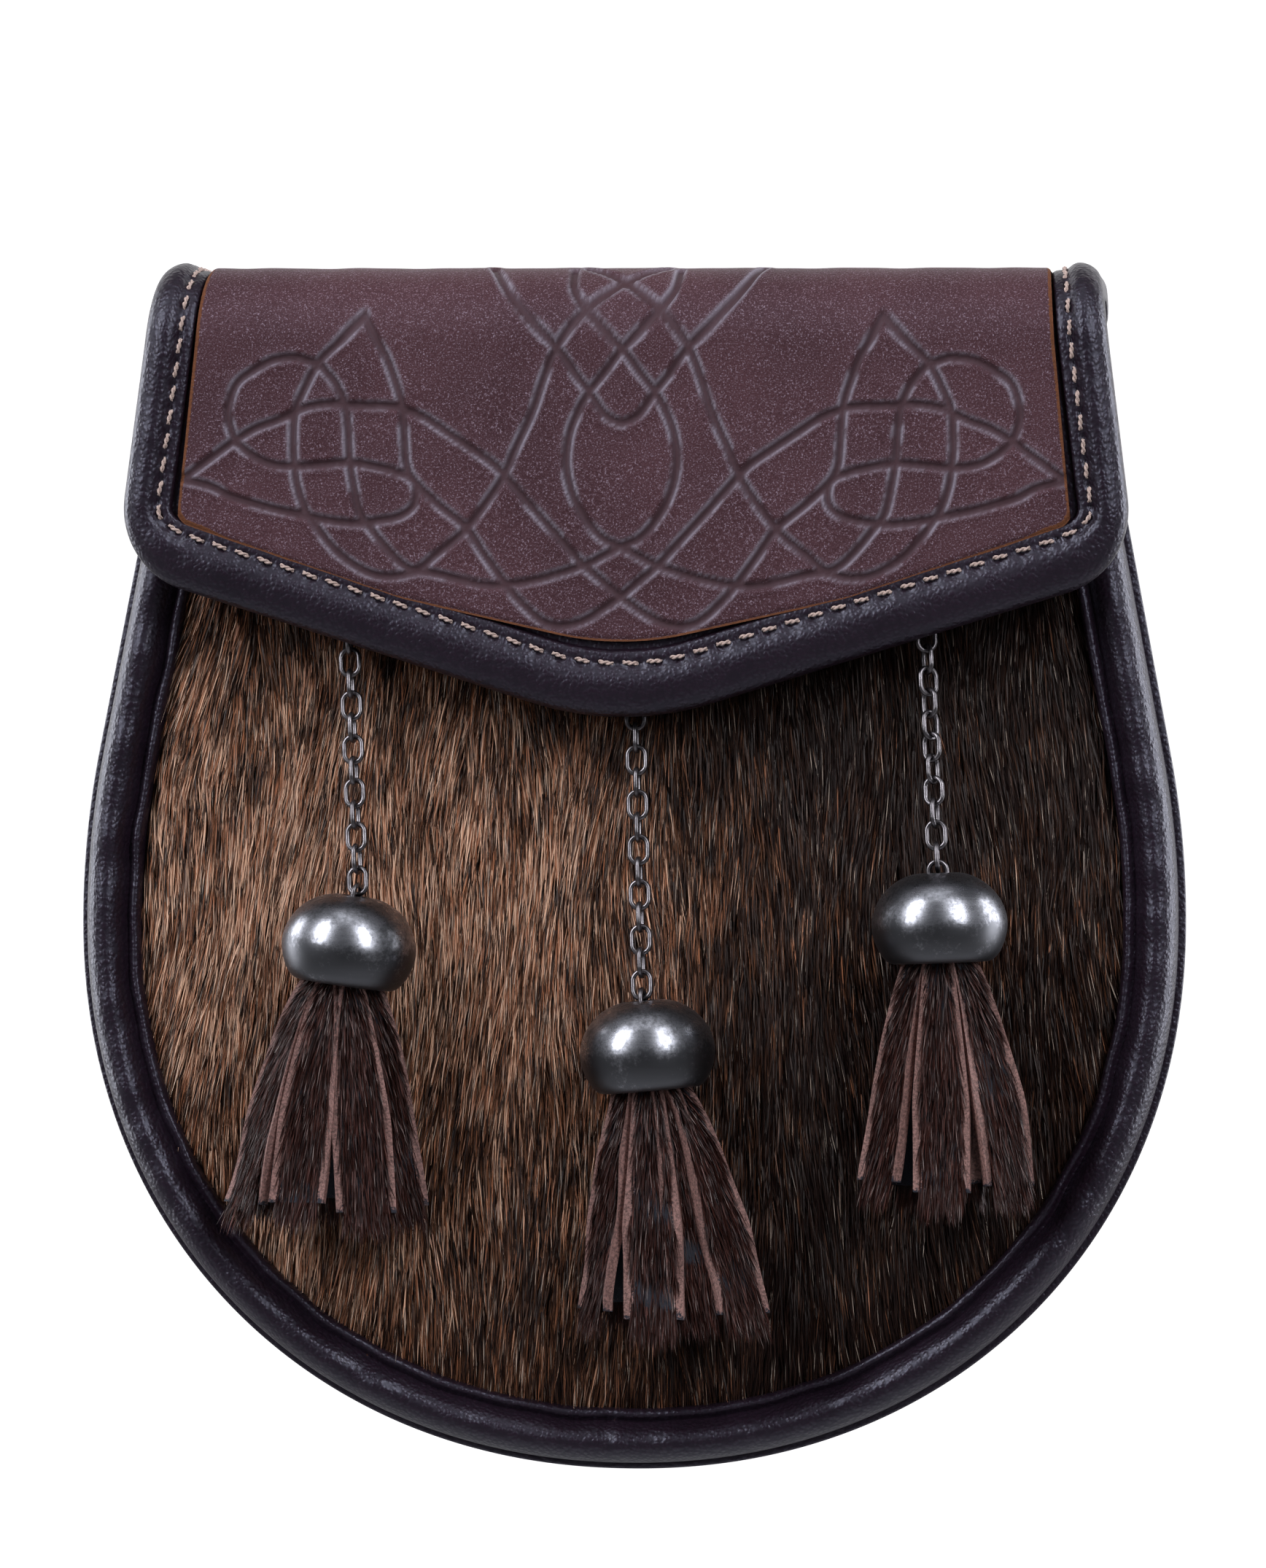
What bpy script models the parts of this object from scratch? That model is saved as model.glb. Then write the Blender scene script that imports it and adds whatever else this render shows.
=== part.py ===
"""Sporran pouch: a hollow leather pouch with a fur front and a padded rim, a folded
flap with an overlaid panel, belt loops, and three chains that carry capped tassels.

Metres, +Z up, +X to the viewer's right, the fur front towards -Y. The origin is the
middle of the belt line, halfway through the slots of the two belt loops.
"""

import math

import bmesh
import bpy
from mathutils import Matrix, Vector

MM = 0.001
GAP = 0.3 * MM

# Pouch outline, seen from the front
BODY_HALF_WIDTH = 93.4 * MM
BODY_DROP = 92.4 * MM
BODY_POWER = 2.1
WIDEST_Z = -71.4 * MM
SHOULDER_RADIUS = 150.0 * MM
TAPER = math.radians(10.8)
MOUTH_Z = 24.4 * MM

# Pouch walls, from the back to the front
STRAP_SLOT = 5.4 * MM
BACK_WALL = 2.2 * MM
GUSSET_DEPTH = 22.0 * MM
GUSSET_WALL = 2.0 * MM
SEAM_LIP = 1.2 * MM
PELT_LEATHER = 1.5 * MM
PILE_EDGE = 3.6 * MM
PILE_RISE = 3.4 * MM
PILE_ROUNDING = 7.0 * MM
PILE_CROWN = 2.2 * MM
PILE_CELL = 14.0 * MM
RIM_WIDTH = 9.2 * MM
RIM_HEIGHT = 6.2 * MM

# Flap: its pattern is flat and is then folded over the top of the pouch
FLAP_ROOM = 6.4 * MM
FLAP_LEATHER = 2.2 * MM
FOLD_RADIUS = 9.0 * MM
FOLD_CLEAR = 0.5 * MM
FOLD_START = MOUTH_Z + FOLD_CLEAR
TAIL_DROP = 6.0 * MM
FLAP_TOP_HALF = 78.6 * MM
FLAP_FLARE = 6.6 * MM
FLAP_CORNER_X = FLAP_TOP_HALF + FLAP_FLARE
FLAP_CORNER_Z = -12.6 * MM
FLAP_CORNER_RADIUS = 14.0 * MM
FLAP_POINT_Z = -39.5 * MM
FLAP_POINT_RADIUS = 50.0 * MM
FLAP_TAIL_RADIUS = 8.0 * MM
FLAP_RIM_WIDTH = 12.0 * MM
FLAP_RIM_HEIGHT = 5.0 * MM
FLAP_RIM_LIFT = 0.05 * MM

# Panel that lies on the flap, set in from the flap's own pattern; its lower edge bends
# once on its way to the point, at shares of that way
PANEL_LEATHER = 1.6 * MM
PANEL_TOP_MARGIN = 8.0 * MM
PANEL_CORNER_MARGIN = 10.1 * MM
PANEL_LOWER_MARGIN = 7.5 * MM
PANEL_POINT_MARGIN = 13.4 * MM
PANEL_TAIL_MARGIN = 3.0 * MM
PANEL_TOP_HALF = FLAP_TOP_HALF - PANEL_TOP_MARGIN
PANEL_CORNER_X = FLAP_CORNER_X - PANEL_CORNER_MARGIN
PANEL_CORNER_Z = FLAP_CORNER_Z + PANEL_LOWER_MARGIN
PANEL_CORNER_RADIUS = 3.0 * MM
PANEL_POINT_Z = FLAP_POINT_Z + PANEL_POINT_MARGIN
PANEL_POINT_RADIUS = 50.0 * MM
PANEL_BEND = (0.5, 0.6)
PANEL_BEND_RADIUS = 30.0 * MM

# Closure between the pelt and the flap
SNAP_RADIUS = 6.0 * MM
SNAP_Z = -4.0 * MM

# Belt loops on the back
LOOP_X = 45.0 * MM
LOOP_WIDTH = 22.0 * MM
LOOP_LEATHER = 2.4 * MM
LOOP_HALF_HEIGHT = 18.0 * MM
LOOP_PAD = 5.0 * MM
SLOT_HALF_HEIGHT = 11.5 * MM

# Chains
WIRE = 0.85 * MM
LINK_WIDTH = 3.9 * MM
LINK_PITCH = 3.72 * MM
LINK_FUSE = 0.22 * MM
STAPLE_HIDDEN = 11.0 * MM
STAPLE_REACH = 3.3 * MM
STAPLE_WIDTH = 4.0 * MM
STAPLE_PLATE = 0.8 * MM
STAPLE_PLATE_SIDE = 7.0 * MM

# Tassel caps, turned about a standing axis
CAP_RADIUS = 11.3 * MM
CAP_HEIGHT = 14.8 * MM
CAP_WALL = 0.8 * MM
CAP_HOLE = 2.6 * MM

# Tassels: strips of pelt on a head inside the cap
HEAD_RADIUS = 5.6 * MM
HEAD_HEIGHT = 5.0 * MM
EYE_RISE = 1.9 * MM
EYE_SUNK = 1.15 * MM
STRIP_LENGTH = 41.0 * MM
STRIP_SPREAD = 10.0 * MM
STRIP_WIDTH = 10.0 * MM
STRIP_THICKNESS = 2.4 * MM
STRIP_ROOT_WIDTH = 4.6 * MM
STRIP_ROOT_RADIUS = 3.8 * MM
STRIP_SUNK = 2.0 * MM
STRIP_CUP = 0.9 * MM
STRIP_FLARE = 1.15
STRIP_STEPS = 3

# Where each chain hangs, as shares of the pouch's half width and of the staple's height
# over the flap's edge, and where its tassel cap rests, as shares of the half width and of
# the pouch's drop, counted from its widest place. Tilt leans the cap about Y, and twist
# turns the chain about itself from its top to its bottom.
HANGERS = (
    {
        "name": "left",
        "staple": (-0.503, 0.73),
        "cap": (-0.481, -0.037),
        "tilt": math.radians(8.0),
        "twist": math.radians(-15.0),
    },
    {
        "name": "centre",
        "staple": (0.014, 1.05),
        "cap": (0.053, -0.221),
        "tilt": math.radians(-5.5),
        "twist": math.radians(-8.0),
    },
    {
        "name": "right",
        "staple": (0.531, 1.08),
        "cap": (0.571, 0.012),
        "tilt": math.radians(-2.5),
        "twist": math.radians(90.0),
    },
)

# Each strip's foot across and back from its cap's mouth, as shares of the spread, then the
# way its fur faces in degrees, its width and its length, as shares
STRIPS = {
    "left": (
        (-1.65, 0.05, -48.0, 0.90, 0.97),
        (-1.20, 0.50, 160.0, 0.90, 0.94),
        (-0.70, -0.40, -8.0, 0.95, 0.96),
        (0.45, -0.35, 10.0, 1.00, 1.00),
        (1.00, 0.20, 50.0, 0.90, 0.98),
        (-0.10, 0.70, 180.0, 1.00, 0.95),
    ),
    "centre": (
        (-0.87, 0.05, -52.0, 0.90, 0.97),
        (-0.42, 0.60, 190.0, 0.90, 0.94),
        (0.13, -0.40, -3.0, 1.00, 1.00),
        (0.78, -0.20, 24.0, 0.90, 0.96),
        (1.53, 0.10, 38.0, 0.95, 0.98),
        (0.63, 0.70, 175.0, 1.00, 0.95),
    ),
    "right": (
        (-0.98, 0.05, -42.0, 0.85, 0.96),
        (-0.48, 0.50, 150.0, 0.85, 0.98),
        (0.07, -0.40, -4.0, 0.95, 1.00),
        (0.62, 0.25, 95.0, 0.80, 0.96),
        (1.17, -0.10, 32.0, 0.95, 0.97),
        (0.27, 0.70, 185.0, 1.00, 0.94),
    ),
}

# inward and high, as shares of the pouch rim's width and height
RIM_SECTION = (
    (0.00, 0.00),
    (0.00, 0.25),
    (0.08, 0.62),
    (0.24, 0.92),
    (0.40, 1.00),
    (0.57, 0.88),
    (0.74, 0.50),
    (0.84, 0.62),
    (0.93, 0.58),
    (1.00, 0.36),
    (1.00, 0.00),
)

# inward and high, as shares of the flap rim's width and height
FLAP_RIM_SECTION = (
    (0.00, 0.00),
    (0.00, 0.36),
    (0.06, 0.54),
    (0.13, 0.56),
    (0.23, 0.86),
    (0.34, 1.00),
    (0.45, 0.92),
    (0.56, 0.62),
    (0.66, 0.42),
    (1.00, 0.42),
    (1.00, 0.00),
)

# radius and height, as shares of the cap's radius and half height
CAP_PROFILE = (
    (0.30, 1.00),
    (0.55, 0.88),
    (0.78, 0.62),
    (0.93, 0.28),
    (1.00, -0.10),
    (0.97, -0.45),
    (0.86, -0.80),
    (0.72, -1.00),
)

# Depths along Y, each worked out from the one behind it
BACK_FACE_Y = -STRAP_SLOT / 2
BACK_FRONT_Y = BACK_FACE_Y - BACK_WALL
GUSSET_BACK_Y = BACK_FRONT_Y - GAP
GUSSET_FRONT_Y = GUSSET_BACK_Y - GUSSET_DEPTH
PELT_BACK_Y = GUSSET_FRONT_Y - GAP
PILE_TOP = PILE_EDGE + PILE_RISE + PILE_CROWN
FLAP_FRONT_Y = PELT_BACK_Y - PILE_TOP - FLAP_ROOM
FLAP_TAIL_Y = BACK_FACE_Y + GAP
TOP_RUN = FLAP_TAIL_Y - FLAP_FRONT_Y - 2 * FOLD_RADIUS
FOLD_LENGTH = FOLD_RADIUS * math.pi / 2
FLAP_PATTERN_END = FOLD_START + 2 * FOLD_LENGTH + TOP_RUN + TAIL_DROP

# How finely curves are cut: a quarter turn of the flap's folds, the pouch's lower and
# upper outline, a rounded corner, a turned piece, a chain link and its wire
FOLD_CUTS = 4
LOWER_STEPS = 13
SHOULDER_STEPS = 2
CORNER_STEPS = 4
ROUND_STEPS = 12
LINK_STEPS = 10
WIRE_STEPS = 5

# Meshes: corners closer than this weld, flatter edges go, and sharper edges stay sharp
WELD = 0.01 * MM
FLAT_ANGLE = math.radians(0.2)
SMOOTH_ANGLE = math.radians(40)

# The flap's sheet ends inside its padded edge, which stops this many corners short of the
# tail, and a belt loop's leather grows to the outer side of its line
FLAP_SHEET_INSET = FLAP_RIM_WIDTH * 0.6
FLAP_TAIL_TRIM = 3
LOOP_OUTWARD = -1.0


def clear_scene():
    for item in list(bpy.data.objects):
        bpy.data.objects.remove(item)


def make_collection(name):
    collection = bpy.data.collections.new(name)
    bpy.context.scene.collection.children.link(collection)
    return collection


def make_material(name, colour, roughness, metallic=0.0):
    material = bpy.data.materials.new(name)
    material.use_nodes = True
    shader = material.node_tree.nodes["Principled BSDF"]
    shader.inputs["Base Color"].default_value = (*colour, 1.0)
    shader.inputs["Roughness"].default_value = roughness
    shader.inputs["Metallic"].default_value = metallic
    return material


def tidy_mesh(mesh):
    """Welds loose caps, clears needless edges and turns every face outwards."""
    work = bmesh.new()
    work.from_mesh(mesh)
    bmesh.ops.remove_doubles(work, verts=work.verts, dist=WELD)
    bmesh.ops.dissolve_limit(
        work, angle_limit=FLAT_ANGLE, verts=work.verts, edges=work.edges
    )
    bmesh.ops.recalc_face_normals(work, faces=work.faces)
    work.to_mesh(mesh)
    work.free()


def baked(source):
    """A mesh of an object as its modifiers and curve settings leave it, in world space."""
    bpy.context.view_layer.update()
    evaluated = source.evaluated_get(bpy.context.evaluated_depsgraph_get())
    mesh = bpy.data.meshes.new_from_object(evaluated)
    mesh.transform(source.matrix_world)
    bpy.data.objects.remove(source)
    tidy_mesh(mesh)
    return mesh


def place(name, mesh, collection, material):
    """Adds a finished piece to the model, under its own name."""
    piece = bpy.data.objects.new(name, mesh)
    mesh.name = name
    mesh.materials.clear()
    mesh.materials.append(material)
    mesh.shade_smooth()
    mesh.set_sharp_from_angle(angle=SMOOTH_ANGLE)
    collection.objects.link(piece)
    return piece


def curve_object(points, closed, collection):
    """A flat polyline in the pattern plane, where x runs across and y runs up."""
    curve = bpy.data.curves.new("pattern_line", "CURVE")
    curve.dimensions = "2D"
    spline = curve.splines.new("POLY")
    spline.points.add(len(points) - 1)
    for knot, (across, up) in zip(spline.points, points):
        knot.co = (across, up, 0.0, 1.0)
    spline.use_cyclic_u = closed
    item = bpy.data.objects.new("pattern_line", curve)
    collection.objects.link(item)
    return item


def board(points, low, high, collection):
    """A flat outline cut from leather, lying between two heights of the pattern plane."""
    item = curve_object(points, True, collection)
    item.data.fill_mode = "BOTH"
    item.data.extrude = (high - low) / 2
    item.location.z = (low + high) / 2
    return baked(item)


def swept(path, section, base, collection):
    """A padded edge: a section of (inward, high) run along an open path, on its inner side."""
    profile = curve_object(section, True, collection)
    item = curve_object(path, False, collection)
    item.data.bevel_mode = "OBJECT"
    item.data.bevel_object = profile
    item.data.use_fill_caps = True
    item.location.z = base
    mesh = baked(item)
    bpy.data.objects.remove(profile)
    return mesh


def joined(meshes, collection):
    """One body from meshes that run into each other."""
    items = [bpy.data.objects.new("joint_piece", mesh) for mesh in meshes]
    others = make_collection("joint_pieces")
    collection.objects.link(items[0])
    for item in items[1:]:
        others.objects.link(item)
    union = items[0].modifiers.new("join", "BOOLEAN")
    union.operation = "UNION"
    union.solver = "EXACT"
    union.operand_type = "COLLECTION"
    union.collection = others
    mesh = baked(items[0])
    for item in items[1:]:
        bpy.data.objects.remove(item)
    bpy.data.collections.remove(others)
    return mesh


def cut_lines(mesh, normal, places):
    """Adds a line of edges across a mesh wherever it is to bend."""
    work = bmesh.new()
    work.from_mesh(mesh)
    for position in places:
        bmesh.ops.bisect_plane(
            work,
            geom=work.verts[:] + work.edges[:] + work.faces[:],
            dist=WELD,
            plane_co=Vector(normal) * position,
            plane_no=normal,
        )
    work.to_mesh(mesh)
    work.free()


def moved(mesh, where):
    """Puts every corner of a mesh at where(corner)."""
    for corner in mesh.vertices:
        corner.co = where(corner.co)
    tidy_mesh(mesh)
    return mesh


def standing(back_y):
    """Stands the pattern plane up as the pouch's front, with its height towards the viewer."""
    return lambda at: (at.x, back_y - at.z, at.y)


def pouch_half(inset=0.0):
    """Right half of the pouch outline, from the mouth down to the lowest point."""
    radius = SHOULDER_RADIUS - inset
    centre_x = BODY_HALF_WIDTH - SHOULDER_RADIUS
    straight_x = centre_x + radius * math.cos(TAPER)
    straight_z = WIDEST_Z + radius * math.sin(TAPER)
    points = [(straight_x - math.tan(TAPER) * (MOUTH_Z - straight_z), MOUTH_Z)]
    for step in range(SHOULDER_STEPS, 0, -1):
        turn = TAPER * step / SHOULDER_STEPS
        points.append(
            (centre_x + radius * math.cos(turn), WIDEST_Z + radius * math.sin(turn))
        )
    for step in range(LOWER_STEPS + 1):
        turn = math.pi / 2 * step / LOWER_STEPS
        side = max(math.cos(turn), 0.0) ** (2 / BODY_POWER)
        down = math.sin(turn) ** (2 / BODY_POWER)
        slope = Vector(
            (
                side ** (BODY_POWER - 1) / BODY_HALF_WIDTH,
                down ** (BODY_POWER - 1) / BODY_DROP,
            )
        ).normalized()
        points.append(
            (
                BODY_HALF_WIDTH * side - inset * slope.x,
                WIDEST_Z - BODY_DROP * down + inset * slope.y,
            )
        )
    return points


def mirrored(half):
    """A whole outline from its right half, which ends on the middle line."""
    return half + [(-across, up) for across, up in reversed(half[:-1])]


def rounded(corners):
    """Points of a polyline whose inner corners (x, y, radius) are rounded off."""
    points = [corners[0][:2]]
    for before, corner, after in zip(corners, corners[1:], corners[2:]):
        here = Vector(corner[:2])
        back = (Vector(before[:2]) - here).normalized()
        on = (Vector(after[:2]) - here).normalized()
        half_angle = back.angle(on) / 2
        centre = here + (back + on).normalized() * corner[2] / math.sin(half_angle)
        first = here + back * corner[2] / math.tan(half_angle) - centre
        turn = first.angle_signed(here + on * corner[2] / math.tan(half_angle) - centre)
        for step in range(CORNER_STEPS + 1):
            spoke = first.copy()
            spoke.rotate(Matrix.Rotation(-turn * step / CORNER_STEPS, 2))
            points.append(tuple(centre + spoke))
    points.append(corners[-1][:2])
    return points


def flap_half(inset=0.0):
    """Right half of the flap's pattern, from its tail down to its point."""
    top, corner_x = FLAP_TOP_HALF - inset, FLAP_CORNER_X - inset
    corner_z, point_z = FLAP_CORNER_Z + inset, FLAP_POINT_Z + inset
    corners = (
        (0.0, FLAP_PATTERN_END, 0.0),
        (top, FLAP_PATTERN_END, FLAP_TAIL_RADIUS),
        (top, FOLD_START + FOLD_LENGTH, FLAP_TAIL_RADIUS),
        (corner_x, corner_z, FLAP_CORNER_RADIUS),
        (0.0, point_z, FLAP_POINT_RADIUS),
        (-corner_x, corner_z, 0.0),
    )
    return [point for point in rounded(corners) if point[0] > WELD]


def panel_half():
    """Right half of the overlaid panel's pattern, from its tail down to its point."""
    tail = FLAP_PATTERN_END - PANEL_TAIL_MARGIN
    bend_x = PANEL_CORNER_X * (1 - PANEL_BEND[0])
    bend_z = PANEL_CORNER_Z + (PANEL_POINT_Z - PANEL_CORNER_Z) * PANEL_BEND[1]
    corners = (
        (0.0, tail, 0.0),
        (PANEL_TOP_HALF, tail, PANEL_CORNER_RADIUS),
        (PANEL_TOP_HALF, FOLD_START + FOLD_LENGTH, PANEL_CORNER_RADIUS),
        (PANEL_CORNER_X, PANEL_CORNER_Z, PANEL_CORNER_RADIUS),
        (bend_x, bend_z, PANEL_BEND_RADIUS),
        (0.0, PANEL_POINT_Z, PANEL_POINT_RADIUS),
        (-bend_x, bend_z, 0.0),
    )
    return [point for point in rounded(corners) if point[0] > WELD]


def both_sides(half):
    """A whole outline from a right half that stops short of the middle line."""
    return half + [(-across, up) for across, up in reversed(half)]


def fold_over(at):
    """Where a corner of the flap's pattern lies once the flap is folded over the pouch."""
    up, high = at.y, at.z
    reach = FOLD_RADIUS + high
    if up < FOLD_START:
        return (at.x, FLAP_FRONT_Y - high, up)
    up -= FOLD_START
    if up < FOLD_LENGTH:
        turn = up / FOLD_RADIUS
        return (
            at.x,
            FLAP_FRONT_Y + FOLD_RADIUS - reach * math.cos(turn),
            FOLD_START + reach * math.sin(turn),
        )
    up -= FOLD_LENGTH
    if up < TOP_RUN:
        return (at.x, FLAP_FRONT_Y + FOLD_RADIUS + up, FOLD_START + reach)
    up -= TOP_RUN
    if up < FOLD_LENGTH:
        turn = up / FOLD_RADIUS
        return (
            at.x,
            FLAP_TAIL_Y - FOLD_RADIUS + reach * math.sin(turn),
            FOLD_START + reach * math.cos(turn),
        )
    return (at.x, FLAP_TAIL_Y + high, FOLD_START - (up - FOLD_LENGTH))


def fold_places():
    """Heights of the pattern at which the flap bends."""
    second = FOLD_START + FOLD_LENGTH + TOP_RUN
    steps = [FOLD_LENGTH * step / FOLD_CUTS for step in range(FOLD_CUTS + 1)]
    return [FOLD_START + step for step in steps] + [second + step for step in steps]


def edge_distance(across, up, outline):
    """Shortest way from a point to an outline given as points."""
    here = Vector((across, up))
    nearest = BODY_HALF_WIDTH
    for first, second in zip(outline, outline[1:]):
        start, run = Vector(first), Vector(second) - Vector(first)
        share = min(max((here - start).dot(run) / run.length_squared, 0.0), 1.0)
        nearest = min(nearest, (here - start - run * share).length)
    return nearest


def pile_outline():
    return mirrored(pouch_half(SEAM_LIP + RIM_WIDTH + GAP))


def pile_height(across, up, outline):
    """Height of the combed fur over the pelt's back, rounded down to its edges."""
    inside = edge_distance(across, up, outline)
    rounding = 1 - math.exp(-inside / PILE_ROUNDING)
    crown = max(0.0, 1 - ((across / BODY_HALF_WIDTH) ** 2))
    return PILE_EDGE + PILE_RISE * rounding + PILE_CROWN * crown * rounding


def make_back(collection, leather):
    mesh = board(mirrored(pouch_half(SEAM_LIP)), 0.0, BACK_WALL, collection)
    place("back_panel", moved(mesh, standing(BACK_FACE_Y)), collection, leather)


def make_gusset(collection, leather):
    """The wall round the sides and bottom, from a ribbon made thick."""
    item = curve_object(mirrored(pouch_half(SEAM_LIP)), False, collection)
    item.data.fill_mode = "NONE"
    item.data.extrude = GUSSET_DEPTH / 2
    item.location.z = GUSSET_DEPTH / 2
    ribbon = bpy.data.objects.new("gusset_ribbon", baked(item))
    collection.objects.link(ribbon)
    wall = ribbon.modifiers.new("wall", "SOLIDIFY")
    wall.thickness = GUSSET_WALL
    wall.use_even_offset = True
    mesh = moved(baked(ribbon), standing(GUSSET_BACK_Y))
    place("gusset", mesh, collection, leather)


def make_pelt(collection, fur):
    """The front wall: a thin hide whose pile stands up inside the rim."""
    outline = pile_outline()
    hide = board(mirrored(pouch_half()), 0.0, PELT_LEATHER, collection)
    pile = board(outline, PELT_LEATHER / 2, PILE_EDGE, collection)
    columns = math.ceil(BODY_HALF_WIDTH / PILE_CELL)
    rows = math.ceil(2 * BODY_DROP / PILE_CELL)
    cut_lines(pile, (1, 0, 0), [PILE_CELL * column for column in range(-columns, columns + 1)])
    cut_lines(pile, (0, 1, 0), [MOUTH_Z - PILE_CELL * row for row in range(1, rows + 1)])
    for corner in pile.vertices:
        if corner.co.z > PELT_LEATHER:
            corner.co.z = pile_height(corner.co.x, corner.co.y, outline)
    mesh = joined([hide, pile], collection)
    place("fur_front", moved(mesh, standing(PELT_BACK_Y)), collection, fur)


def make_rim(collection, leather):
    section = [(SEAM_LIP + RIM_WIDTH * inward, RIM_HEIGHT * high) for inward, high in RIM_SECTION]
    mesh = swept(mirrored(pouch_half()), section, PELT_LEATHER + GAP, collection)
    place("front_rim", moved(mesh, standing(PELT_BACK_Y)), collection, leather)


def make_flap(collection, leather):
    """The folded flap: a sheet of leather with a padded roll down its sides and round its point."""
    edge = [point for point in both_sides(flap_half()) if point[1] < FLAP_PATTERN_END - WELD]
    section = [
        (FLAP_RIM_WIDTH * inward, FLAP_RIM_HEIGHT * high) for inward, high in FLAP_RIM_SECTION
    ]
    roll = swept(edge[FLAP_TAIL_TRIM:-FLAP_TAIL_TRIM], section, FLAP_RIM_LIFT, collection)
    sheet = board(both_sides(flap_half(FLAP_SHEET_INSET)), 0.0, FLAP_LEATHER, collection)
    mesh = joined([roll, sheet], collection)
    cut_lines(mesh, (0, 1, 0), fold_places())
    place("flap", moved(mesh, fold_over), collection, leather)


def make_panel(collection, leather):
    low = FLAP_LEATHER + GAP
    mesh = board(both_sides(panel_half()), low, low + PANEL_LEATHER, collection)
    cut_lines(mesh, (0, 1, 0), fold_places())
    place("flap_panel", moved(mesh, fold_over), collection, leather)


def fur_face_y(across, up):
    """Front of the fur at a place on the pouch."""
    return PELT_BACK_Y - pile_height(across, up, pile_outline())


def make_snap(collection, metal):
    """The hidden closure between the fur front and the flap."""
    back = fur_face_y(0.0, SNAP_Z) - GAP
    depth = back - (FLAP_FRONT_Y + GAP)
    bpy.ops.mesh.primitive_cylinder_add(
        vertices=ROUND_STEPS,
        radius=SNAP_RADIUS,
        depth=depth,
        location=(0.0, back - depth / 2, SNAP_Z),
        rotation=(math.pi / 2, 0.0, 0.0),
    )
    place("snap_closure", baked(bpy.context.object), collection, metal)


def make_loop(name, side, collection, leather):
    """A strip of leather that stands off the back to let a strap through."""
    pad = BACK_FACE_Y + GAP
    bridge = BACK_FACE_Y + STRAP_SLOT
    profile = (
        (pad, LOOP_HALF_HEIGHT),
        (pad, LOOP_HALF_HEIGHT - LOOP_PAD),
        (bridge, SLOT_HALF_HEIGHT),
        (bridge, -SLOT_HALF_HEIGHT),
        (pad, LOOP_PAD - LOOP_HALF_HEIGHT),
        (pad, -LOOP_HALF_HEIGHT),
    )
    item = curve_object(profile, False, collection)
    item.data.fill_mode = "NONE"
    item.data.extrude = LOOP_WIDTH / 2
    strip = bpy.data.objects.new("loop_strip", baked(item))
    collection.objects.link(strip)
    wall = strip.modifiers.new("wall", "SOLIDIFY")
    wall.thickness = LOOP_LEATHER
    wall.offset = LOOP_OUTWARD
    wall.use_even_offset = True
    mesh = moved(baked(strip), lambda at: (at.z + side * LOOP_X, at.x, at.y))
    place(name, mesh, collection, leather)


def wire_ring(width, length):
    """A link of wire in the XZ plane, longer along Z, as a mesh about its centre."""
    bpy.ops.mesh.primitive_torus_add(
        major_segments=LINK_STEPS,
        minor_segments=WIRE_STEPS,
        major_radius=(width - WIRE) / 2,
        minor_radius=WIRE / 2,
        rotation=(math.pi / 2, 0.0, 0.0),
    )
    mesh = baked(bpy.context.object)
    stretch = (length - width) / 2
    return moved(mesh, lambda at: (at.x, at.y, at.z + math.copysign(stretch, at.z)))


def frame_along(middle, direction):
    """Axes with their origin at middle, Z up along direction, and X across."""
    up = direction.normalized()
    back = up.cross(Vector((1, 0, 0))).normalized()
    across = back.cross(up)
    axes = Matrix((across, back, up)).transposed().to_4x4()
    return Matrix.Translation(middle) @ axes


def flap_edge_height(across):
    """Height of the flap's lower edge at a place across it."""
    lower = [point for point in both_sides(flap_half()) if point[1] < FOLD_START]
    for (right, right_up), (left, left_up) in zip(lower, lower[1:]):
        if left <= across <= right and right > left:
            share = (across - left) / (right - left)
            return left_up + (right_up - left_up) * share
    return FLAP_POINT_Z


def staple_bar(hanger):
    """Middle of the bar that a chain hangs on, between the fur and the flap's lower edge."""
    across = hanger["staple"][0] * BODY_HALF_WIDTH
    up = flap_edge_height(across) + hanger["staple"][1] * STAPLE_HIDDEN
    return Vector((across, fur_face_y(across, up) - GAP - STAPLE_REACH, up))


def cap_centre(hanger):
    """Middle of a tassel cap, which rests against the fur."""
    across = hanger["cap"][0] * BODY_HALF_WIDTH
    up = WIDEST_Z + hanger["cap"][1] * BODY_DROP
    return Vector((across, fur_face_y(across, up) - GAP - CAP_RADIUS, up))


def cap_frame(hanger):
    """Axes of a cap and its tassel's head, with Z up through the cap's hole."""
    turn = Matrix.Rotation(hanger["tilt"], 4, "Y")
    return Matrix.Translation(cap_centre(hanger)) @ turn


def eye_top(hanger):
    """Middle of the wire at the top of the eye that stands out of a cap."""
    return cap_frame(hanger) @ Vector((0.0, 0.0, CAP_HEIGHT / 2 + EYE_RISE))


def make_staple(hanger, collection, metal):
    """A wire bar on a small plate, which carries a chain under the flap."""
    bar = staple_bar(hanger)
    face = fur_face_y(bar.x, bar.z) - GAP
    half = STAPLE_WIDTH / 2
    item = curve_object(
        ((-half, WIRE / 2), (-half, STAPLE_REACH), (half, STAPLE_REACH), (half, WIRE / 2)),
        False,
        collection,
    )
    item.data.dimensions = "3D"
    item.data.bevel_depth = WIRE / 2
    item.data.bevel_resolution = 1
    item.data.use_fill_caps = True
    wire = moved(baked(item), lambda at: (bar.x + at.x, face - at.y, bar.z + at.z))
    bpy.ops.mesh.primitive_cube_add(
        size=1.0,
        location=(bar.x, face - STAPLE_PLATE / 2, bar.z),
        scale=(STAPLE_PLATE_SIDE, STAPLE_PLATE, STAPLE_PLATE_SIDE),
    )
    mesh = joined([baked(bpy.context.object), wire], collection)
    place(f"chain_staple_{hanger['name']}", mesh, collection, metal)


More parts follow.
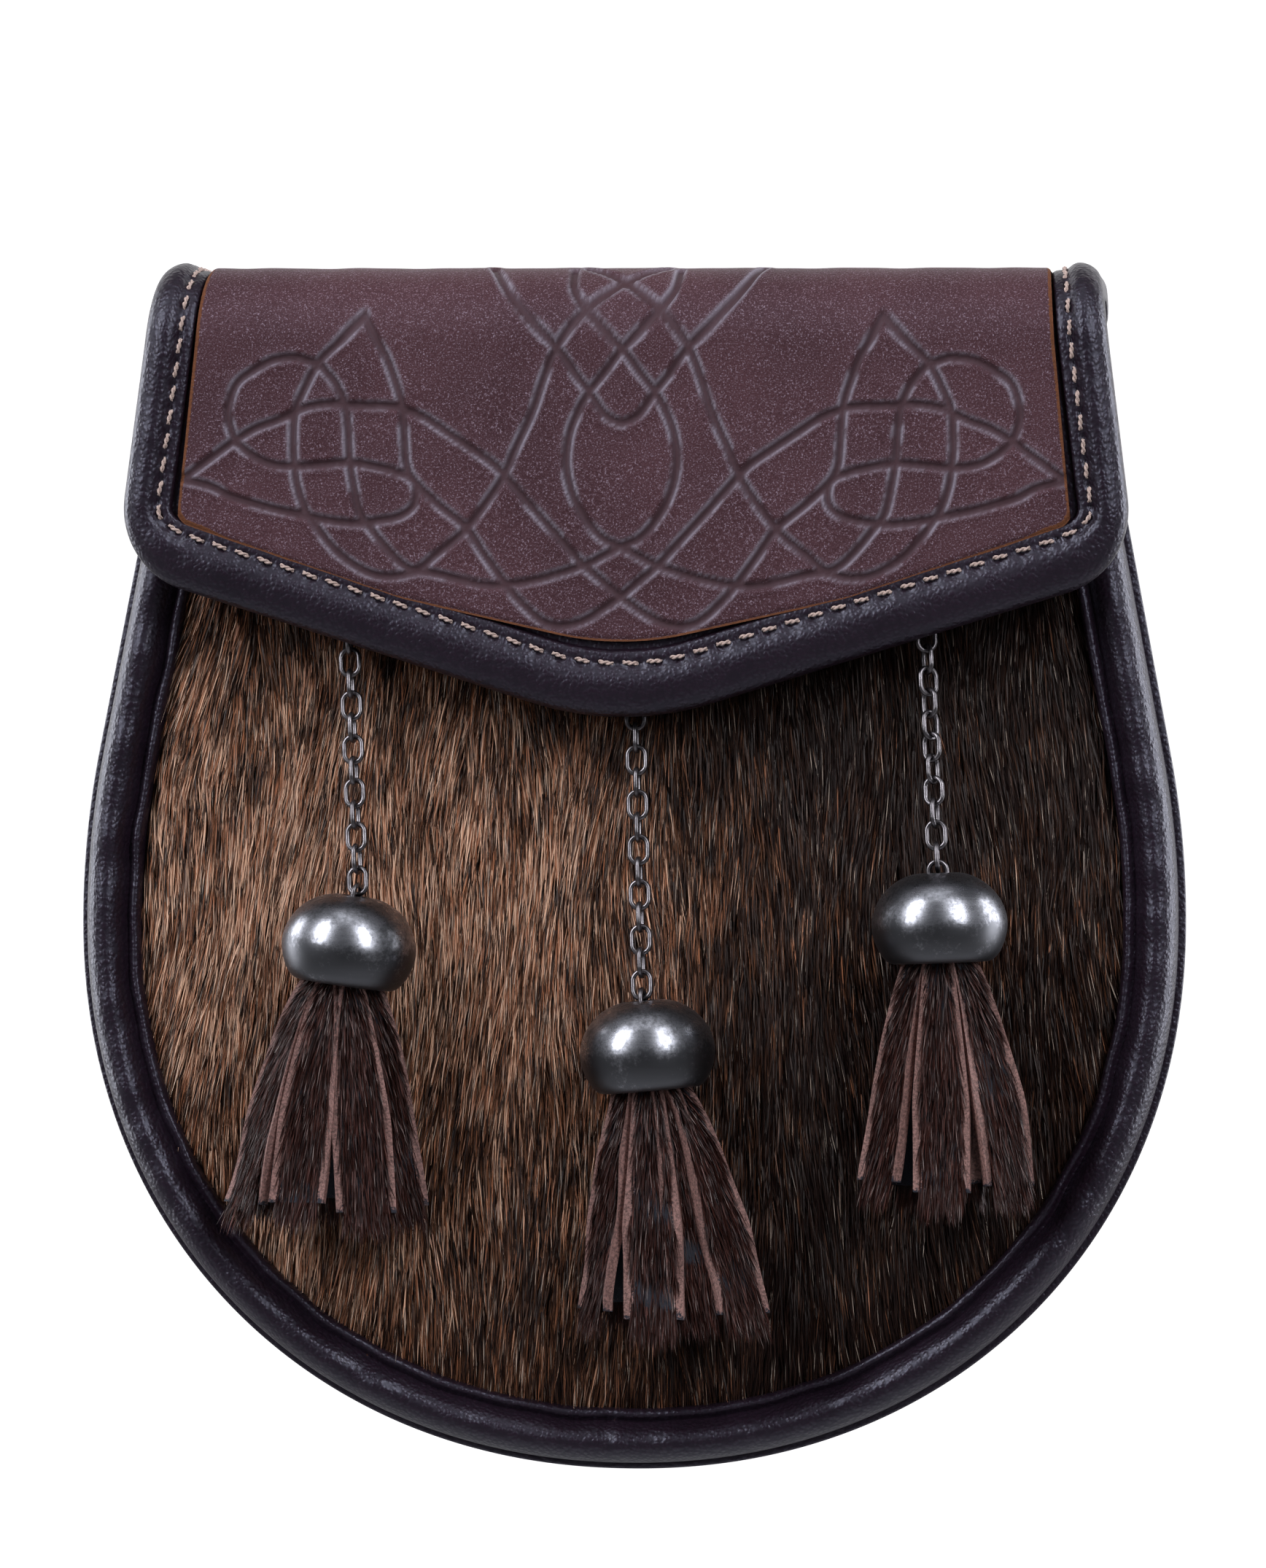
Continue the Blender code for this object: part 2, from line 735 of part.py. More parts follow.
def chain_route(hanger):
    """Corners of a chain's line: its bar, the flap's edge that holds it back, and the eye."""
    top, bottom = staple_bar(hanger), eye_top(hanger)
    edge = flap_edge_height(top.x) - LINK_WIDTH / 2
    share = (top.z - edge) / (top.z - bottom.z)
    held = top.lerp(bottom, share)
    held.y = FLAP_FRONT_Y + GAP + LINK_WIDTH / 2 + GAP
    hang = WIRE + GAP
    top = top + (top - held).normalized() * hang
    bottom = bottom + (bottom - held).normalized() * hang
    return top, held, bottom


def along_route(route, run):
    """The point that lies a run down a line of three corners."""
    first = (route[1] - route[0]).length
    if run < first:
        return route[0].lerp(route[1], run / first)
    return route[1].lerp(route[2], (run - first) / (route[2] - route[1]).length)


def make_chain(hanger, collection, metal):
    """Interlocked links fused into one body, from a staple down to a cap's eye.

    Their number is even, so that the last one crosses the eye as the first does the bar.
    """
    route = chain_route(hanger)
    run = (route[1] - route[0]).length + (route[2] - route[1]).length
    count = 2 * round(run / LINK_PITCH / 2)
    pitch = run / count
    links = []
    for index in range(count):
        upper = along_route(route, pitch * index)
        lower = along_route(route, pitch * (index + 1))
        turn = math.pi / 2 * (index + 1) + hanger["twist"] * index / (count - 1)
        mesh = wire_ring(LINK_WIDTH, pitch + 2 * WIRE - LINK_FUSE)
        frame = frame_along((upper + lower) / 2, upper - lower)
        mesh.transform(frame @ Matrix.Rotation(turn, 4, "Z"))
        links.append(mesh)
    place(f"chain_{hanger['name']}", joined(links, collection), collection, metal)


def make_cap(hanger, collection, metal):
    """A squat metal bead, open below, turned from its wall's section."""
    half = CAP_HEIGHT / 2
    outer = [(CAP_HOLE, half)] + [(CAP_RADIUS * wide, half * up) for wide, up in CAP_PROFILE]
    inner = []
    for before, here, after in zip(outer[:1] + outer, outer, outer[1:] + outer[-1:]):
        run = (Vector(after) - Vector(before)).normalized()
        inner.append((here[0] + run.y * CAP_WALL, here[1] - run.x * CAP_WALL))
    mesh = bpy.data.meshes.new("cap_section")
    ring = outer + inner[::-1]
    work = bmesh.new()
    corners = [work.verts.new((wide, 0.0, up)) for wide, up in ring]
    for first, second in zip(corners, corners[1:] + corners[:1]):
        work.edges.new((first, second))
    work.to_mesh(mesh)
    work.free()
    section = bpy.data.objects.new("cap_section", mesh)
    collection.objects.link(section)
    turned = section.modifiers.new("turn", "SCREW")
    turned.steps = turned.render_steps = ROUND_STEPS
    turned.use_merge_vertices = True
    turned.merge_threshold = WELD
    section.matrix_world = cap_frame(hanger)
    place(f"tassel_cap_{hanger['name']}", baked(section), collection, metal)


def strip_place(foot, facing, width, length):
    """Where a strip's point (across -1 to 1, down 0 to 1) lies, from its cap's mouth."""

    def where(at):
        across, down = at
        out = down**STRIP_FLARE
        middle_x = STRIP_ROOT_RADIUS * math.sin(facing) * (1 - out) + foot[0] * out
        middle_y = -STRIP_ROOT_RADIUS * math.cos(facing) * (1 - out) + foot[1] * out
        half = (STRIP_ROOT_WIDTH + (width - STRIP_ROOT_WIDTH) * down) / 2
        cupped = STRIP_CUP * (1 - across * across)
        return (
            middle_x + across * half * math.cos(facing) + cupped * math.sin(facing),
            middle_y + across * half * math.sin(facing) - cupped * math.cos(facing),
            STRIP_SUNK * (1 - down) - length * down,
        )

    return where


def make_strip(row, mouth):
    """One strip of pelt, cupped across, which starts inside the cap and ends at its foot."""
    foot_across, foot_back, facing, width, length = row
    bpy.ops.mesh.primitive_grid_add(x_subdivisions=2, y_subdivisions=STRIP_STEPS, size=2.0)
    sheet = bpy.context.object
    where = strip_place(
        (foot_across * STRIP_SPREAD, foot_back * STRIP_SPREAD),
        math.radians(facing),
        width * STRIP_WIDTH,
        length * STRIP_LENGTH,
    )
    for corner in sheet.data.vertices:
        corner.co = mouth + Vector(where((corner.co.x, (1 - corner.co.y) / 2)))
    wall = sheet.modifiers.new("wall", "SOLIDIFY")
    wall.thickness = STRIP_THICKNESS
    wall.offset = 0.0
    return baked(sheet)


def make_tassel(hanger, collection, fur):
    """Strips of pelt fused to a head inside the cap, with a wire eye through its hole."""
    frame = cap_frame(hanger)
    floor = GAP - CAP_HEIGHT / 2
    bpy.ops.mesh.primitive_cylinder_add(
        vertices=ROUND_STEPS,
        radius=HEAD_RADIUS,
        depth=HEAD_HEIGHT,
        location=(0.0, 0.0, floor + HEAD_HEIGHT / 2),
    )
    head = baked(bpy.context.object)
    low = floor + HEAD_HEIGHT - EYE_SUNK
    high = CAP_HEIGHT / 2 + EYE_RISE
    eye = wire_ring(LINK_WIDTH, high - low + WIRE)
    eye.transform(Matrix.Rotation(math.pi / 2 + hanger["twist"], 4, "Z"))
    eye.transform(Matrix.Translation((0.0, 0.0, (low + high) / 2)))
    for mesh in (head, eye):
        mesh.transform(frame)
    mouth = frame @ Vector((0.0, 0.0, floor))
    strips = [make_strip(row, mouth) for row in STRIPS[hanger["name"]]]
    mesh = joined([head, eye, *strips], collection)
    place(f"tassel_{hanger['name']}", mesh, collection, fur)


def main():
    clear_scene()
    pouch = make_collection("SporranPouch")
    dark = make_material("dark_leather", (0.022, 0.014, 0.021), 0.45)
    fur = make_material("fur", (0.13, 0.07, 0.035), 0.8)
    panel = make_material("panel_leather", (0.075, 0.033, 0.040), 0.5)
    nickel = make_material("antique_nickel", (0.35, 0.35, 0.36), 0.35, 1.0)
    make_back(pouch, dark)
    make_gusset(pouch, dark)
    make_pelt(pouch, fur)
    make_rim(pouch, dark)
    make_flap(pouch, dark)
    make_panel(pouch, panel)
    make_snap(pouch, nickel)
    for name, side in (("left", -1), ("right", 1)):
        make_loop(f"belt_loop_{name}", side, pouch, dark)
    for hanger in HANGERS:
        make_staple(hanger, pouch, nickel)
        make_chain(hanger, pouch, nickel)
        make_cap(hanger, pouch, nickel)
        make_tassel(hanger, pouch, fur)


main()
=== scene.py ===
"""Sporran pouch: the finished leather, fur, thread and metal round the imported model.

Sizes in the tables and helpers are in millimetres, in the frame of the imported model, where
+Z is up, +X is to the viewer's right and the fur front faces -Y.
"""

import math

import bmesh
import bpy
import numpy as np
from mathutils import Matrix, Vector


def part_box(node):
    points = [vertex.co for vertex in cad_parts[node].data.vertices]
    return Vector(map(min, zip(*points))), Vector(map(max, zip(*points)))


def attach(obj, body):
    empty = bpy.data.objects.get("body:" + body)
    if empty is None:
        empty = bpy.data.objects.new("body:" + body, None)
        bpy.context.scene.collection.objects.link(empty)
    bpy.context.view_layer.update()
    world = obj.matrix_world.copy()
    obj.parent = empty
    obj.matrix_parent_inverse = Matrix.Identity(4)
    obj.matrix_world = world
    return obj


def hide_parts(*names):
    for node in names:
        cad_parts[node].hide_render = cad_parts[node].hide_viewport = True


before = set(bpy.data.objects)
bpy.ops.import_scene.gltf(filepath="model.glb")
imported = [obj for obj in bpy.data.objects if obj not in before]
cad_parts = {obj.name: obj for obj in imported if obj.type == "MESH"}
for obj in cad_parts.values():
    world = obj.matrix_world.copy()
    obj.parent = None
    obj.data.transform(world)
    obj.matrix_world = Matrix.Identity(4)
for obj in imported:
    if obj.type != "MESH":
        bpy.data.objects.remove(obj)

bl_info = {
    "name": "Sporran Pouch",
    "version": (1, 0, 0),
    "blender": (4, 5, 0),
    "location": "View3D > Sidebar > Sporran",
    "description": "Builds the leather, fur, stitching, chains and tassels of a sporran pouch",
    "category": "Object",
}

MM = 0.001
GAP = 0.3

# Pouch outline, seen from the front
HALF_WIDTH = 93.4
DROP = 92.4
POWER = 2.1
WIDEST_Z = -71.4
SHOULDER_RADIUS = 150.0
TAPER = math.radians(10.8)
MOUTH_Z = 24.4

# Depths along Y of the walls
BACK_FACE_Y = -2.7
GUSSET_BACK_Y = -5.2
GUSSET_DEPTH = 22.0
GUSSET_WALL = 2.0
HIDE_BACK_Y = -27.5
HIDE_THICKNESS = 1.5
SEAM_LIP = 1.2
RIM_INNER = 10.4

# Combed fur: its height over the hide's back at the edge, its rise inwards and its crown
PILE_EDGE = 3.6
PILE_RISE = 3.4
PILE_CROWN = 2.2
PILE_ROUNDING = 7.0

# Spacing of the points on the lines that the pieces are swept along
HIDE_STEP = 1.0
WALL_STEP = 1.2
FLAP_STEP = 0.6
PANEL_STEP = 0.25

# Flap and panel: folds, then corners across and up with their radii, and layers
FLAP_FRONT_Y = -43.1
FLAP_TAIL_Y = -2.4
FLAP_LEATHER = 2.2
FOLD_RADIUS = 9.0
FOLD_START = 24.9
TOP_RUN = FLAP_TAIL_Y - FLAP_FRONT_Y - 2 * FOLD_RADIUS
FOLD_LENGTH = FOLD_RADIUS * math.pi / 2
PATTERN_END = FOLD_START + 2 * FOLD_LENGTH + TOP_RUN + 6.0
FLAP_CORNERS = (
    (0.0, PATTERN_END, 0.0),
    (78.6, PATTERN_END, 14.0),
    (78.6, FOLD_START + FOLD_LENGTH, 30.0),
    (85.2, -12.6, 14.0),
    (0.0, -39.5, 50.0),
    (-85.2, -12.6, 0.0),
)
PANEL_CORNERS = (
    (0.0, PATTERN_END - 3.0, 0.0),
    (70.6, PATTERN_END - 3.0, 3.0),
    (70.6, FOLD_START + FOLD_LENGTH, 30.0),
    (75.1, -5.1, 3.4),
    (37.6, -17.7, 34.0),
    (0.0, -26.1, 50.0),
    (-37.6, -17.7, 0.0),
)
PANEL_SPLIT = 38.6  # up the pattern, where the panel's lines of points turn straight
PANEL_LOW = FLAP_LEATHER + GAP
PANEL_THICKNESS = 1.6

# Where the flap's stitches run, inwards from its edge and over its inner face
SEAM_SIDE = 5.9
SEAM_BOTTOM = 8.6
SEWN_HEIGHT = 3.77

# Height of the flap's padded edge, by shares of the way in to the stitches
FLAP_ROLL = (
    (0.00, 0.00), (-0.03, 0.6), (-0.035, 1.4), (-0.02, 2.3), (0.02, 3.05), (0.08, 3.6),
    (0.15, 4.02), (0.23, 4.36), (0.32, 4.64), (0.42, 4.85), (0.52, 4.96), (0.61, 4.97),
    (0.69, 4.86), (0.77, 4.64), (0.84, 4.36), (0.90, 4.08), (0.95, 3.86), (1.0, 3.75),
    (1.06, 3.76), (1.14, 3.72), (1.24, 3.6), (1.32, 3.36), (1.36, 2.9), (1.372, 2.3),
    (1.45, 2.2),
)

# Pouch rim from the outside in: inwards from the outline, and height over the hide
RIM_SECTION = (
    (1.2, 0.0), (1.15, 1.0), (1.3, 2.4), (1.75, 3.8), (2.5, 5.0), (3.5, 5.85), (4.6, 6.2),
    (5.6, 6.0), (6.6, 5.25), (7.35, 4.2), (7.85, 3.3), (8.15, 2.75), (8.4, 2.72), (8.7, 3.2),
    (9.15, 3.68), (9.6, 3.72), (10.05, 3.3), (10.33, 2.4), (10.4, 1.2), (10.4, 0.0),
)

# Creases across the rim: place, width and lean
RIM_CREASES = (
    (-4.5, -160.5, 0.5, 0.35), (-2.2, -160.0, 0.45, -0.2),
    (61.0, -128.0, 0.5, 0.6), (-66.0, -122.0, 0.5, -0.6),
)
CREASE_REACH = 9.0

# The fur's hairs: its three pieces from left to right, and the locks that they gather in
FUR_BOUNDS = {"left": (-100, -26), "middle": (-26, 24), "right": (24, 100)}
LOCKS = 4200
LOCK_SIZE = 2.6

# Patches of lighter and darker fur, the last one a painted shadow under the flap: place, half
# width and height, and gain in tone
FUR_PATCHES_AND_FLAP_SHADOW = (
    (-46.0, -68.0, 46.0, 33.0, 0.36),
    (-62.0, -128.0, 24.0, 20.0, 0.28),
    (-8.0, -58.0, 24.0, 24.0, 0.09),
    (70.0, -66.0, 15.0, 13.0, 0.17),
    (24.0, -62.0, 16.0, 14.0, 0.12),
    (29.0, -114.0, 17.0, 18.0, -0.02),
    (-62.0, -36.0, 22.0, 16.0, 0.10),
    (-18.0, -134.0, 26.0, 15.0, -0.09),
    # Painted shadow: a darker band across the top of the fur, under the flap's edge
    (0.0, -22.0, 90.0, 12.0, -0.07),
)

# Pressed interlace of the left half, drawn across and up the panel's pattern
INTERLACE = {
    "arch_right": ((-43.3, 28.0), (-40.0, 23.2), (-37.9, 18.0), (-36.8, 14.0), (-36.4, 8.7),
                   (-36.0, 4.3), (-34.5, 1.5), (-30.6, -2.2), (-26.0, -6.0), (-22.8, -10.6),
                   (-19.2, -15.5), (-16.4, -18.7), (-13.1, -21.5), (-9.8, -22.3),
                   (-5.7, -21.2), (0.0, -17.5)),
    "arch_left": ((-43.3, 28.0), (-46.5, 25.6), (-49.3, 23.2), (-51.1, 21.2), (-53.1, 17.5),
                  (-54.8, 13.2), (-55.1, 8.3), (-54.9, 4.6), (-54.4, 1.0), (-53.2, -2.7),
                  (-51.9, -4.7), (-49.9, -7.5), (-47.3, -10.4), (-44.0, -12.7),
                  (-40.8, -14.0), (-37.3, -14.1), (-34.1, -13.4), (-30.8, -13.7),
                  (-26.6, -14.8), (-22.5, -15.6), (-18.4, -15.4), (-14.3, -14.7),
                  (-10.3, -13.6), (-5.8, -12.1), (-2.8, -10.6), (0.0, -9.1)),
    "leg": ((-50.5, 20.9), (-47.9, 17.7), (-46.5, 14.4), (-45.9, 10.8), (-45.6, 5.4),
            (-44.8, 0.4), (-43.8, -3.7), (-41.7, -6.5), (-39.1, -9.7), (-36.5, -12.2),
            (-34.1, -13.0), (-30.8, -10.4), (-27.6, -7.9), (-25.3, -5.5), (-22.3, -1.5),
            (-19.6, 2.7), (-17.7, 7.2), (-14.9, 13.4), (-13.1, 18.9), (-11.0, 24.0),
            (-8.6, 26.8), (-5.6, 29.3), (-2.9, 31.1), (0.0, 33.0), (3.3, 35.0), (6.7, 36.9)),
    "loop": ((-51.1, 21.2), (-52.6, 21.7), (-54.7, 22.3), (-58.4, 21.9), (-61.6, 20.3),
             (-64.5, 18.2), (-65.8, 15.2), (-66.1, 12.3), (-65.0, 8.4)),
    "long": ((-65.0, 8.4), (-61.4, 10.5), (-58.1, 11.7), (-55.2, 13.0), (-52.5, 14.1),
             (-48.7, 14.6), (-45.7, 14.4), (-41.7, 14.3), (-38.4, 14.2), (-36.5, 13.7),
             (-33.0, 12.3), (-29.2, 9.8), (-25.1, 7.1), (-21.6, 4.7), (-19.6, 2.7),
             (-14.5, -3.1), (-10.4, -7.6), (-6.3, -12.1), (-2.9, -15.0), (0.0, -17.5)),
    "belly": ((-65.0, 8.4), (-62.5, 6.3), (-59.2, 4.6), (-55.1, 4.1), (-51.0, 4.4),
              (-46.0, 4.8), (-42.7, 4.4), (-39.4, 3.7), (-36.1, 2.7), (-34.5, 1.5)),
    "tip": ((-65.0, 8.4), (-69.1, 5.4), (-73.3, 2.3)),
    "fin": ((-73.3, 1.8), (-69.0, 0.8), (-65.7, -0.9), (-62.0, -2.0), (-57.8, -3.1),
            (-53.9, -3.9), (-50.7, -4.6), (-47.4, -5.1), (-43.8, -5.3), (-40.1, -4.8),
            (-37.2, -4.2), (-35.1, -2.8), (-34.3, -0.9), (-34.5, 1.5)),
    "chevron": ((-22.8, 37.3), (-19.8, 31.8), (-15.4, 27.5), (-11.0, 24.0), (-7.9, 19.6),
                (-5.5, 16.6), (-2.8, 12.8), (0.0, 11.3)),
    "almond": ((0.0, -9.1), (-3.1, -7.7), (-5.9, -4.6), (-8.1, -0.5), (-9.2, 4.3),
               (-8.8, 9.2), (-7.5, 12.9), (-5.5, 16.6), (-2.7, 20.1), (0.0, 23.7),
               (3.3, 26.5), (6.4, 29.1), (8.5, 31.9), (8.9, 35.9)),
}

# Half widths of a pressed line: the levels that points snap to, and its wall's foot and lip
GROOVE = (0.46, 0.80)
GROOVE_WALL = (0.44, 0.82)

# Belt loops: place across, half width and thickness
LOOP_X = 45.0
LOOP_HALF = 11.0
LOOP_LEATHER = 2.35

# Chains: corners of each line from its staple to its tassel, its links and its turn
WIRE = 0.85
LINK_WIDTH = 3.9
CHAINS = {
    "left": (((-47.06, -39.54, -15.49), (-46.3, -40.55, -26.62), (-43.55, -47.98, -66.74)),
             14, math.radians(-15.0)),
    "centre": (((1.25, -40.28, -23.79), (1.95, -40.55, -38.43), (4.11, -48.49, -83.69)),
               16, math.radians(-8.0)),
    "right": (((49.52, -39.43, -10.82), (50.53, -40.55, -25.79), (53.0, -47.73, -62.13)),
              14, math.radians(90.0)),
}

# Tassel caps: shares across and up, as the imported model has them, and their tilt
CAP_RADIUS = 11.3
CAP_HEIGHT = 14.8
CAP_WALL = 0.8
CAP_STEPS = 80
CAPS = {
    "left": (-0.481, -0.037, math.radians(8.0)),
    "centre": (0.053, -0.221, math.radians(-5.5)),
    "right": (0.571, 0.012, math.radians(-2.5)),
}
CAP_PROFILE = (
    (0.23, 1.00), (0.30, 1.00), (0.43, 0.955), (0.55, 0.88), (0.67, 0.77), (0.78, 0.62),
    (0.87, 0.45), (0.93, 0.28), (0.975, 0.08), (0.995, -0.12), (0.985, -0.32),
    (0.955, -0.51), (0.91, -0.68), (0.855, -0.83), (0.78, -0.95), (0.715, -1.00),
)

# Each tassel strip: foot across and back, the way its fur faces, width and length
STRIPS = {
    "left": (
        (-16.5, 0.5, -48.0, 9.0, 0.97), (-12.0, 5.0, 160.0, 9.0, 0.94),
        (-7.0, -4.0, -8.0, 9.5, 0.96), (4.5, -3.5, 10.0, 10.0, 1.0),
        (10.0, 2.0, 50.0, 9.0, 0.98), (-1.0, 7.0, 180.0, 10.0, 0.95),
    ),
    "centre": (
        (-8.7, 0.5, -52.0, 9.0, 0.97), (-4.2, 6.0, 190.0, 9.0, 0.94),
        (1.3, -4.0, -3.0, 10.0, 1.0), (7.8, -2.0, 24.0, 9.0, 0.96),
        (15.3, 1.0, 38.0, 9.5, 0.98), (6.3, 7.0, 175.0, 10.0, 0.95),
    ),
    "right": (
        (-9.8, 0.5, -42.0, 8.5, 0.96), (-4.8, 5.0, 150.0, 8.5, 0.98),
        (0.7, -4.0, -4.0, 9.5, 1.0), (6.2, 2.5, 95.0, 8.0, 0.96),
        (11.7, -1.0, 32.0, 9.5, 0.97), (2.7, 7.0, 185.0, 10.0, 0.94),
    ),
}
STRIP_LENGTH = 41.0
STRIP_HALF = 0.7
STRIP_ROOT_WIDTH = 4.6
STRIP_ROOT_RADIUS = 3.8


class PouchSizes(bpy.types.PropertyGroup):
    """Sizes that a user of the pouch would change."""

    hair_length: bpy.props.FloatProperty(
        name="Fur length", description="Length of the hairs of the front",
        default=0.0095, unit="LENGTH", subtype="DISTANCE")
    hair_width: bpy.props.FloatProperty(
        name="Hair width", description="Width of a hair, or of the few that it stands for",
        default=0.00023, unit="LENGTH", subtype="DISTANCE")
    hairs_per_piece: bpy.props.IntProperty(
        name="Hairs", description="Hairs in each third of the fur", default=37000)
    tassel_hair_length: bpy.props.FloatProperty(
        name="Tassel fur length", description="Length of the hairs on the tassels",
        default=0.0060, unit="LENGTH", subtype="DISTANCE")
    tassel_hairs: bpy.props.IntProperty(
        name="Tassel hairs", description="Hairs on each tassel strip", default=2000)
    thread: bpy.props.FloatProperty(
        name="Thread", description="Thickness of the sewing thread",
        default=0.00078, unit="LENGTH", subtype="DISTANCE")
    stitch: bpy.props.FloatProperty(
        name="Stitch", description="Length of one stitch with its hole",
        default=0.0040, unit="LENGTH", subtype="DISTANCE")
    groove_depth: bpy.props.FloatProperty(
        name="Groove depth", description="Depth of the lines pressed into the panel",
        default=0.00055, unit="LENGTH", subtype="DISTANCE")
    grain: bpy.props.FloatProperty(
        name="Grain", description="Size of one pebble of the leather's grain",
        default=0.00075, unit="LENGTH", subtype="DISTANCE")


class PouchColours(bpy.types.PropertyGroup):
    """Colours of the finishes."""

    body_leather: bpy.props.FloatVectorProperty(
        name="Body leather", description="Rim, flap edge and walls", subtype="COLOR",
        default=(0.0100, 0.0046, 0.0088), size=3, min=0, max=1)
    panel_leather: bpy.props.FloatVectorProperty(
        name="Panel leather", description="The panel with the pressed lines", subtype="COLOR",
        default=(0.064, 0.027, 0.031), size=3, min=0, max=1)
    raw_edge: bpy.props.FloatVectorProperty(
        name="Raw edge", description="Cut edge of the panel", subtype="COLOR",
        default=(0.21, 0.078, 0.034), size=3, min=0, max=1)
    thread: bpy.props.FloatVectorProperty(
        name="Thread", description="Sewing thread", subtype="COLOR",
        default=(0.56, 0.41, 0.36), size=3, min=0, max=1)
    fur_light: bpy.props.FloatVectorProperty(
        name="Light fur", description="Golden brown hairs", subtype="COLOR",
        default=(0.37, 0.142, 0.070), size=3, min=0, max=1)
    fur_dark: bpy.props.FloatVectorProperty(
        name="Dark fur", description="Darkest hairs", subtype="COLOR",
        default=(0.0085, 0.0040, 0.0036), size=3, min=0, max=1)
    tassel_fur: bpy.props.FloatVectorProperty(
        name="Tassel fur", description="Hairs of the tassels", subtype="COLOR",
        default=(0.036, 0.0105, 0.0075), size=3, min=0, max=1)
    strip_edge: bpy.props.FloatVectorProperty(
        name="Strip edge", description="Cut edges of the tassel strips", subtype="COLOR",
        default=(0.25, 0.135, 0.118), size=3, min=0, max=1)
    nickel: bpy.props.FloatVectorProperty(
        name="Nickel", description="Polished parts of the metal", subtype="COLOR",
        default=(0.46, 0.46, 0.50), size=3, min=0, max=1)


# Shader expressions


def shade(colour, gain):
    """A colour made lighter or darker."""
    return tuple(gain * part for part in colour)


class Signal:
    """A node's output that takes part in Python expressions, which add their Math nodes."""

    def __init__(self, finish, socket):
        self.finish = finish
        self.socket = socket

    def __add__(self, other):
        return self.finish.math("ADD", self, other)

    __radd__ = __add__

    def __mul__(self, other):
        return self.finish.math("MULTIPLY", self, other)

    __rmul__ = __mul__

    def __sub__(self, other):
        return self.finish.math("SUBTRACT", self, other)

    def __rsub__(self, other):
        return self.finish.math("SUBTRACT", other, self)

    def between(self, low, high):
        """0 below low, 1 above high and a soft step from one to the other."""
        return self.finish.node(
            "MapRange", {"interpolation_type": "SMOOTHSTEP"},
            {"Value": self, "From Min": low, "From Max": high})


class Finish:
    """A material being made: one method adds any node."""

    def __init__(self, name, **constants):
        self.material = bpy.data.materials.new(name)
        self.material.use_nodes = True
        self.tree = self.material.node_tree
        self.shader = self.tree.nodes["Principled BSDF"]
        for key, value in constants.items():
            self.shader.inputs[key.replace("_", " ")].default_value = value

    def node(self, kind, settings=None, sockets=None, output=0):
        item = self.tree.nodes.new("ShaderNode" + kind)
        for key, value in (settings or {}).items():
            if key == "stops":
                ramp = item.color_ramp.elements
                ramp.remove(ramp[-1])
                ramp[0].position = value[0][0]
                ramp[0].color = (*value[0][1], 1.0)
                for position, colour in value[1:]:
                    ramp.new(position).color = (*colour, 1.0)
            else:
                setattr(item, key, value)
        for key, value in (sockets or {}).items():
            socket = item.inputs[key]
            if isinstance(value, Signal):
                self.tree.links.new(value.socket, socket)
            elif socket.type == "RGBA":
                socket.default_value = (*value[:3], 1.0)
            else:
                socket.default_value = value
        return Signal(self, item.outputs[output])

    def math(self, operation, first, second):
        return self.node("Math", {"operation": operation}, {0: first, 1: second})

    def place(self):
        return self.node("TexCoord", output=3)

    def mark(self, name):
        """A number that the mesh holds at each corner."""
        return self.node("Attribute", {"attribute_name": name}, output=2)

    def noise(self, where, scale, detail=2.0, roughness=0.5):
        return self.node("TexNoise", None, {
            "Vector": where, "Scale": scale, "Detail": detail, "Roughness": roughness})

    def stretched(self, where, across, back, up):
        """Coordinates scaled along each axis, for a texture that runs one way."""
        return self.node(
            "VectorMath", {"operation": "MULTIPLY"}, {0: where, 1: (across, back, up)})

    def mix(self, share, first, second, how="MIX"):
        return self.node(
            "Mix", {"data_type": "RGBA", "blend_type": how, "clamp_factor": True},
            {0: share, 6: first, 7: second}, output=2)

    def bump(self, height, distance, strength=1.0):
        return self.node("Bump", None, {
            "Height": height, "Distance": distance, "Strength": strength})

    def feed(self, **inputs):
        """Links what varies over the surface into the shader, and returns the material."""
        for key, value in inputs.items():
            self.tree.links.new(value.socket, self.shader.inputs[key.replace("_", " ")])
        return self.material


FINISHES = {}


def finish(name):
    """A finish by name, made the first time that it is asked for."""
    if name not in FINISHES:
        FINISHES[name] = FINISH_MAKERS[name](name)
    return FINISHES[name]


def make_body_leather(name):
    """Dark pebbled leather with a satin face, creases and a cool gloss."""
    sizes, colours = bpy.context.scene.pouch_sizes, bpy.context.scene.pouch_colours
    work = Finish(name, Coat_Roughness=0.26, Specular_IOR_Level=0.5,
                  Specular_Tint=(0.80, 0.80, 1.0, 1.0))
    place = work.place()
    drift = work.node("TexNoise", None, {"Vector": place, "Scale": 900.0}, output=1)
    shifted = work.node("VectorMath", {"operation": "MULTIPLY_ADD"},
                        {0: drift, 1: (0.0004,) * 3, 2: place})
    cells = work.node("TexVoronoi", {"feature": "SMOOTH_F1"}, {
        "Vector": shifted, "Scale": 1.0 / sizes.grain, "Smoothness": 0.45})
    pebble = 1.0 - cells.between(0.12, 0.78)
    fine = work.noise(place, 3200.0, 3.0, 0.6)
    broad = work.noise(place, 55.0, 3.0, 0.55)
    crease = work.noise(work.stretched(place, 1.0, 1.0, 2.2), 190.0, 4.0, 0.62)
    dark = shade(colours.body_leather, 0.45)
    light = shade(colours.body_leather, 1.75)
    share = pebble * 0.45 + broad * 0.55
    colour = work.mix(share, dark, light)
    rough = 0.27 + (1.0 - pebble) * 0.10 + broad * 0.08 + fine * 0.04
    height = pebble * 0.45 + fine * 0.12 + crease * 0.10
    return work.feed(Base_Color=colour, Roughness=rough,
                     Coat_Weight=pebble * 0.08 + broad * 0.06,
                     Normal=work.bump(height, 0.00016, 1.0))


